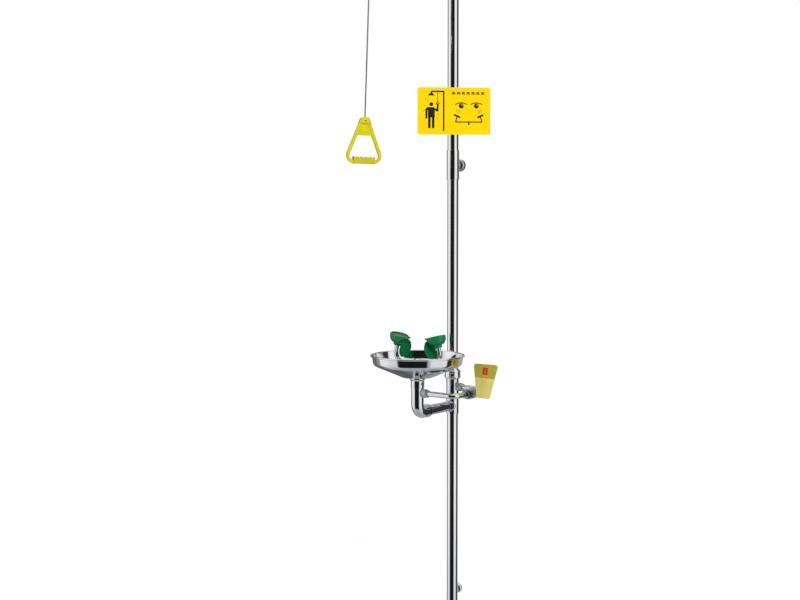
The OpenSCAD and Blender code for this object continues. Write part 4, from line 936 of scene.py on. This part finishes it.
grow(collar_tree("plate collars", 4, pi / 6), "spray_plate_collars", {"Wire": 0.7}, sheet_steel,
    "spray_plate", moved(0, HEAD_Y, HEAD_FOOT + 7.8), 60)

# %% [markdown]
# ## Bowl
# The bowl is spun too: a rolled lip, an almost upright side, a soft corner and a shallow cone
# down to the drain. A mirror finish shows every flat spot, so it has many steps round.
# %% Spin the bowl
BOWL = moved(0, BOWL_Y, 0)
side, foot_z = 151.7, 888.6
shoulder = (side - 4.5, 930)
lip = arc_points((154.3, 960.8), 2.6, -60, 180, 24)
profile = lip + fillet((side, 960.8), shoulder, (50, foot_z), 16) + fillet(
    shoulder, (50, foot_z), (0, foot_z), 30, 6) + [(19.5, foot_z)]
piece("bowl_shell", [turned(wall(profile, 1.2), BOWL, 0, 224)], sheet_steel, "bowl", angle=50)
smoothed("drain_flange", sheet_steel)
piece("bowl_sleeve_ring", [turned([(19.0, 861), (21.3, 861), (21.3, 852), (22.7, 852), (22.7, 877),
    (26.7, 883), (26.7, 886), (19.0, 886)], BOWL, 0.9)], tube_up, "bowl_sleeve")

# %% [markdown]
# ## Drain
# Waste water falls through the pipe under the bowl, turns in a tight elbow, and runs back to
# the column in a smaller tube.
# %% Bend the drain
right_boss = rightward(0, BOWL_Y, SUPPLY_Z)
piece("drain_pipe_tube",
      [tube(21.2, 19.2, 800, 862, BOWL),
       turned([(7.1, 18), (12, 18), (12, 34.2), (7.1, 34.2)], right_boss),
       saddle(21.2, 12, right_boss @ spin("Z", 90))], tube_up, "drain_pipe")
piece("drain_elbow_bend", [bent(route([(0, BOWL_Y, 800), (0, BOWL_Y, DRAIN_Z), (0, -148, DRAIN_Z)],
    29.9), 21.2, 16.95, ROUND), turned([(17, -5), (23.2, -5), (23.2, 0), (17, 0)],
    backward(0, -148, DRAIN_Z), 1.2)], tube_out, "drain_elbow")
piece("drain_arm_tube", [tube(16.85, 14.85, 24, 162, forward(0, 0, DRAIN_Z))], tube_out,
    "drain_arm")

# %% [markdown]
# ## Eyewash supply
# Small bore pipe leaves the column, loops through the valve, and enters the drain pipe, where
# a riser carries it up into the bowl. There a cross piece feeds the two spray arms.
# %% Bend the supply pipes and the spray arms
piece("supply_pipe_from_column", [bent(route([(34.5, 0, SUPPLY_Z), (150, 0, SUPPLY_Z),
    (150, -95, SUPPLY_Z)], 24), 9, 7.5)], tube_out, "supply_pipe_rear")
piece("supply_pipe_to_bowl", [bent(route([(34.2, BOWL_Y, SUPPLY_Z), (150, BOWL_Y, SUPPLY_Z),
    (150, -131, SUPPLY_Z)], 24), 9, 7.5)], tube_out, "supply_pipe_front")
piece("supply_riser_tube", [bent(route([(34.2, BOWL_Y, SUPPLY_Z), (0, BOWL_Y, SUPPLY_Z),
    (0, BOWL_Y, 927)], 12), 7, 5.5, 48)], tube_up, "supply_riser")


def supply_nut(matrix):
    """A spanner nut with the round collar that grips the pipe."""
    return [hexagon(27, 0, 14, 12.1, matrix), turned([(9.1, 12), (13, 12), (13, 16), (12, 18),
        (12, 21.5), (10.6, 23), (9.1, 23)], matrix, 0.6)]


piece("supply_nut_pair", supply_nut(rightward(23.5, 0, SUPPLY_Z))
      + supply_nut(rightward(23.2, BOWL_Y, SUPPLY_Z)), nut_steel, "supply_nuts")
level = rightward(0, BOWL_Y, 935)
piece("spray_manifold_block", [turned([(7.1, 919), (13, 919), (13, 948), (9, 951), (0, 951),
    (0, 943), (7.1, 941)], BOWL, 1.5), turned([(6.5, -20), (11, -20), (11, 20), (6.5, 20)], level,
    1.2)], sheet_steel, "spray_manifold")
TILT = radians(15)
arm_end = Vector((58 + 32 * cos(TILT), BOWL_Y, 967 + 32 * sin(TILT)))
arm_up = Vector((-sin(TILT), 0, cos(TILT)))
arm_corner = Vector((58 + 32 * tan((pi / 2 + TILT) / 2), BOWL_Y, 935))
arm_path = route([(10, BOWL_Y, 935), arm_corner, arm_end + arm_up * 28], 32)
mirror_x = Matrix.Scale(-1, 4, Vector((1, 0, 0)))
right_arm = bent(arm_path, 8, 6.5)
piece("spray_arm_pair", [right_arm, placed(right_arm, mirror_x)], sheet_steel, "spray_arms")

# %% [markdown]
# ## Spray heads and dust covers
# Each green head is a cup on a neck, with two ears that hold the cover's hinge pin. The ribs on
# the covers and the collars on the bronze faces repeat round an axis, so they come from
# Geometry Nodes. The right head is drawn once and mirrored for the left.
# %% Turn the heads
RIM = arm_end + arm_up * 54.5
head_right = Matrix.Translation(RIM) @ Matrix.Rotation(-TILT, 4, "Y")
head_places = {"right": head_right, "left": mirror_x @ head_right}
cup = [(8.1, -38.5), (12, -38.5), (14, -36.5), (14, -29.5)]
cup += [(14 + 18 * sin(a), -5 - 24.5 * cos(a)) for a in
        (pi / 2 * k / 10 for k in range(1, 11))]
cup += [(32, -1.2), (30.8, 0), (29.1, 0), (28.5, -0.7), (28.5, -5), (26.1, -5), (26.1, -7),
        (23.5, -7), (7, -15), (6.5, -24), (8.1, -24)]
ear_outline = arc_points((0, 0), 3.4, 90, 270, 12) + [(8, -3.4), (8, 0.6), (4, 1.6)]
ear_turn = spin("X", 90)
ear_x = -37
head_shapes = []
for place in head_places.values():
    head_shapes.append(turned(cup, place, 0.8))
    for s in (-1, 1):
        at = place @ moved(ear_x, s * 7.65, -1) @ ear_turn
        head_shapes.append(cut_plate([ear_outline], 3.5, 0.5, at))
piece("spray_head_pair", head_shapes, head_green, "spray_heads")
smoothed("spray_faces", bronze)
smoothed("hinge_pins", nut_steel)

ribs = Grower("ribs round an axis", [("Count", WHOLE, 24), ("Inner", FLOAT, 8.0),
    ("Outer", FLOAT, 24.0), ("Width", FLOAT, 1.0), ("Height", FLOAT, 0.8)])
rib_length = ribs.math("SUBTRACT", ribs.sizes["Outer"], ribs.sizes["Inner"])
rib_middle = ribs.math("MULTIPLY", ribs.math("ADD", ribs.sizes["Outer"], ribs.sizes["Inner"]), 0.5)
rib_size = ribs.add("ShaderNodeCombineXYZ", inputs={0: rib_length, 1: ribs.sizes["Width"],
    2: ribs.sizes["Height"]})
rib = ribs.add("GeometryNodeMeshCube", inputs={"Size": rib_size.outputs[0]})
rib_circle = ribs.add("GeometryNodeMeshCircle", inputs={"Vertices": ribs.sizes["Count"],
    "Radius": rib_middle})
rib_step = ribs.math("DIVIDE", 2 * pi, ribs.sizes["Count"])
rib_angle = ribs.math("MULTIPLY", ribs.add("GeometryNodeInputIndex").outputs[0], rib_step)
rib_turn = ribs.add("ShaderNodeCombineXYZ", inputs={2: rib_angle})
rib_copies = ribs.add("GeometryNodeInstanceOnPoints", inputs={
    "Points": rib_circle.outputs[0], "Instance": rib.outputs[0], "Rotation": rib_turn.outputs[0]})
ribs.close(rib_copies.outputs[0])

face_collars = collar_tree("face collars", 2, 0.0)
FACE_COLLAR = {"Ring pitch": 52 / 6, "Collar radius": 1.7, "Wire": 0.45}

# %% Mould the covers, open on their hinges
OPEN = radians(270)
for name, place in head_places.items():
    hinge = place @ moved(ear_x, 0, -1) @ Matrix.Rotation(-OPEN, 4, "Y")
    lid = hinge @ moved(-ear_x, 0, 1.4)
    shapes = [turned([(0, 0.9), (29.5, 0.9), (29.9, 0.0), (31, 0.4), (31, 1.6), (30.2, 2.4),
        (28.6, 2.4), (28.2, 1.9), (0, 1.9)], lid, 0.3), turned([(25.5, -3), (27.5, -3), (27.5, 1.2),
        (25.5, 1.2)], lid, 0.3), turned([(1.55, -5.5), (3.4, -5.5), (3.4, 5.5), (1.55, 5.5)],
        hinge @ backward(0, 0, 0), 0.3, 32), cut_plate([[(1.9, -5.5), (12, -5.5), (12, 5.5),
        (1.9, 5.5)]], 2.2, 0.3, hinge @ moved(0, 0, 2.6))]
    piece("cover_" + name + "_lid", shapes, cover_green, "cover_" + name)
    grow(ribs, "cover_" + name + "_ribs", {"Count": 28, "Inner": 7.0, "Outer": 28.3, "Width": 0.9,
        "Height": 0.5}, cover_green, "cover_" + name, lid @ moved(0, 0, 1.95))
    grow(face_collars, "face_" + name + "_collars", FACE_COLLAR, bronze, "spray_faces",
         place @ moved(0, 0, -5), 60)

# %% [markdown]
# ## Push paddle
# The paddle is sheet metal with a soft powder coat. Its upper part is a darker band with a red
# press mark, and fine red lines run down the lighter part. The mark is inlaid as a thin plate
# of its own, so it keeps a crisp edge.
# %% Cut and paint the paddle
PADDLE_LEAN = radians(-9)
paddle_frame = eyewash_place @ Matrix.Rotation(PADDLE_LEAN, 4, "X")
paddle_paint, paint, coat = principled("paddle powder coat", (0.55, 0.47, 0.05), 0.0, 0.42)
spot = paint.add("ShaderNodeSeparateXYZ",
    inputs={0: paint.add("ShaderNodeTexCoord").outputs["Object"]}).outputs
band = paint.span(spot["Z"], 0.8925, 0.8935)
upper = paint.ramp(grained(paint, 30.0), [(0.3, (0.37, 0.31, 0.022)), (0.7, (0.43, 0.36, 0.03))])
lower = paint.ramp(grained(paint, 30.0), [(0.3, (0.62, 0.55, 0.13)), (0.7, (0.68, 0.62, 0.18))])
line_wave = paint.math("FRACT", paint.math("MULTIPLY", spot["X"], 250.0))
line = paint.math("LESS_THAN", line_wave, 0.32)
across = paint.math("LESS_THAN", paint.math("ABSOLUTE", paint.math("SUBTRACT", spot["X"], 0.212)),
    0.012)
fade = paint.math("MULTIPLY", paint.math("MULTIPLY", line, across), 0.30)
lower_lined = paint.mix(fade, lower, (0.60, 0.20, 0.07, 1))
paint.feed(coat, "Base Color", paint.mix(band, lower_lined, upper))
bumped(paint, coat, grained(paint, 320.0), 0.35, 0.00012)


def on_paddle(depth):
    """A frame on the paddle whose X runs right and Y up, `depth` in front of the stem."""
    return paddle_frame @ moved(0, -depth, 0) @ spin("X", 90)


paddle_shape = rounded_outline([(37, -11), (87, -11), (110, 101), (14, 101)], [3, 3, 9, 9])
screw_spots = [(48.9, 33.5), (48.9, 56.5)]
piece("paddle_plate", [cut_plate([paddle_shape] + [disc_outline(2.1, s, 20) for s in screw_spots],
    2, 0.5, on_paddle(15))], paddle_paint, "paddle")
mark = [cut_plate([[(52, 66), (72, 66), (72, 90), (52, 90)],
    [(62, 69), (58.5, 74), (61.3, 74), (61.3, 87), (62.7, 87), (62.7, 74), (65.5, 74)]], 0.16, 0.04,
    on_paddle(16.05))]
piece("paddle_press_mark", mark, mark_red, "paddle", stands_for=False)
smoothed("paddle_lever", cast_steel)
smoothed("paddle_screws", paddle_paint)
piece("paddle_lever_nut", [hexagon(12, 31.9, 36.9, 3.6, eyewash_place @ rightward(0, 0, 0))],
      nut_steel, "paddle_nut")

# %% [markdown]
# ## Sign
# The sign is a yellow plate with black symbols: a person under a shower on the left, and two
# eyes over a fountain on the right. Each symbol is built from strokes and discs of black film,
# thinner than paper, that lie on the plate.
# %% Cut the sign and its symbols
sign_frame = (moved(0, 0, 1782) @ spin("Z", 42) @ moved(0, -26, 0) @ spin("X", 90))
plate_shape = rounded_outline([(-125, -80), (125, -80), (125, 80), (-125, 80)], [6, 6, 6, 6])
piece("sign_panel", [cut_plate([plate_shape], 1.5, 0.3, sign_frame @ moved(0, 0, 0.75))],
      sign_yellow, "sign_plate")
FILM = sign_frame @ moved(0, 0, 1.55)


def film(outline, *holes):
    return cut_plate([outline, *holes], 0.16, 0.03, FILM, 1)


def stroke(points, width):
    """A line of film with round ends through points."""
    shapes = []
    for start, end in zip(points, points[1:]):
        turn = degrees(atan2(end[1] - start[1], end[0] - start[0]))
        shapes.append(film(arc_points(end, width / 2, turn - 90, turn + 90, 8) +
            arc_points(start, width / 2, turn + 90, turn + 270, 8)))
    return shapes


# the shower, its pull triangle and a person under it
symbols = stroke([(-35.5, -66), (-35.5, 66), (-76, 66), (-78, 61)], 5)
symbols.append(film([(-90, 52)] + arc_points((-78, 52), 9, 160, 20, 8) + [(-66, 52)]))
symbols += stroke([(-56, 64), (-56, 34)], 1.8) + stroke([(-56, 34), (-62, 24), (-50, 24),
    (-56, 34)], 2)
for x, y in ((-98, 42), (-90, 38), (-102, 20), (-103, 2), (-54, -8), (-102, -24), (-56, -24)):
    symbols += stroke([(x, y), (x - 0.6, y - 4)], 1.3)
symbols.append(film(disc_outline(6.6, (-78, 22.5), 28)))
symbols.append(film([(-98, -26), (-98, 6), (-92, 12.5), (-70, 12.5), (-66, 8), (-66, -22),
    (-89.5, -22), (-89.5, 2), (-91.3, 2), (-91.5, -26)]))
symbols += stroke([(-84.6, -22), (-84.6, -55)], 8.6) + stroke([(-71.4, -22), (-71.4, -55)], 8.6)
symbols += stroke([(-68, 7), (-57, 1), (-56, 22)], 6.5)
# two eyes over a fountain
EYE_LINE, FOUNTAIN = 50.4, -37
for side in (-1, 1):
    x = EYE_LINE + side * 26
    symbols += stroke(arc_points((x, -7.6), 35.6, 58, 122, 12), 3)
    symbols.append(film(disc_outline(8.4, (x, 17.4), 28), disc_outline(2.2, (x + 2.6, 20.6), 16)))
    symbols += stroke([(EYE_LINE + side * 32, -20.5), (EYE_LINE + side * 48, -13.5)], 6.5)
    symbols += stroke([(EYE_LINE + side * 40, -18), (EYE_LINE + side * 45, FOUNTAIN),
        (EYE_LINE, FOUNTAIN)], 3.6)
    for k in range(3):
        start = (EYE_LINE + side * (34 + 5 * k), -9 + 2 * k)
        symbols += stroke([start, (start[0] - side * 4, start[1] + 12)], 0.9)
symbols += stroke([(EYE_LINE, FOUNTAIN), (EYE_LINE, FOUNTAIN - 8)], 5)
# a row of seven plain bars
for k in range(7):
    left = -8 + 16.6 * k
    symbols.append(film([(left, 56.5), (left + 12.5, 56.5), (left + 12.5, 60), (left, 60)]))
    symbols.append(film([(left + 1.5, 61), (left + 11, 61), (left + 11, 64.5), (left + 1.5, 64.5)]))
piece("sign_symbols", symbols, sign_black, "sign_plate", stands_for=False)
rivet_domes = [turned([(0, 1.5), (4, 1.5), (3.6, 2.2), (2.2, 2.5), (0, 2.6)],
    sign_frame @ moved(0, s * 45, 0), 0.2, 32) for s in (-1, 1)]
piece("sign_rivet_heads", rivet_domes, sign_yellow, "sign_rivets")
smoothed("sign_clamps", cast_steel)
smoothed("clamp_bolts", nut_steel)

# %% [markdown]
# ## Check and close
# Both boxes are taken, and the distance by which the new pieces reach outside the measured
# box is printed. The new pieces may not reach outside the measured box.
# %% Compare both boxes and finish
shown_box = [list(corner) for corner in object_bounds()]
growth = max(max(c - v for c, v in zip(cad_box[0], shown_box[0])),
    max(v - c for c, v in zip(cad_box[1], shown_box[1])))
print("pieces:", len(made), "reach outside the measured box, mm:", round(growth * 1000, 2))
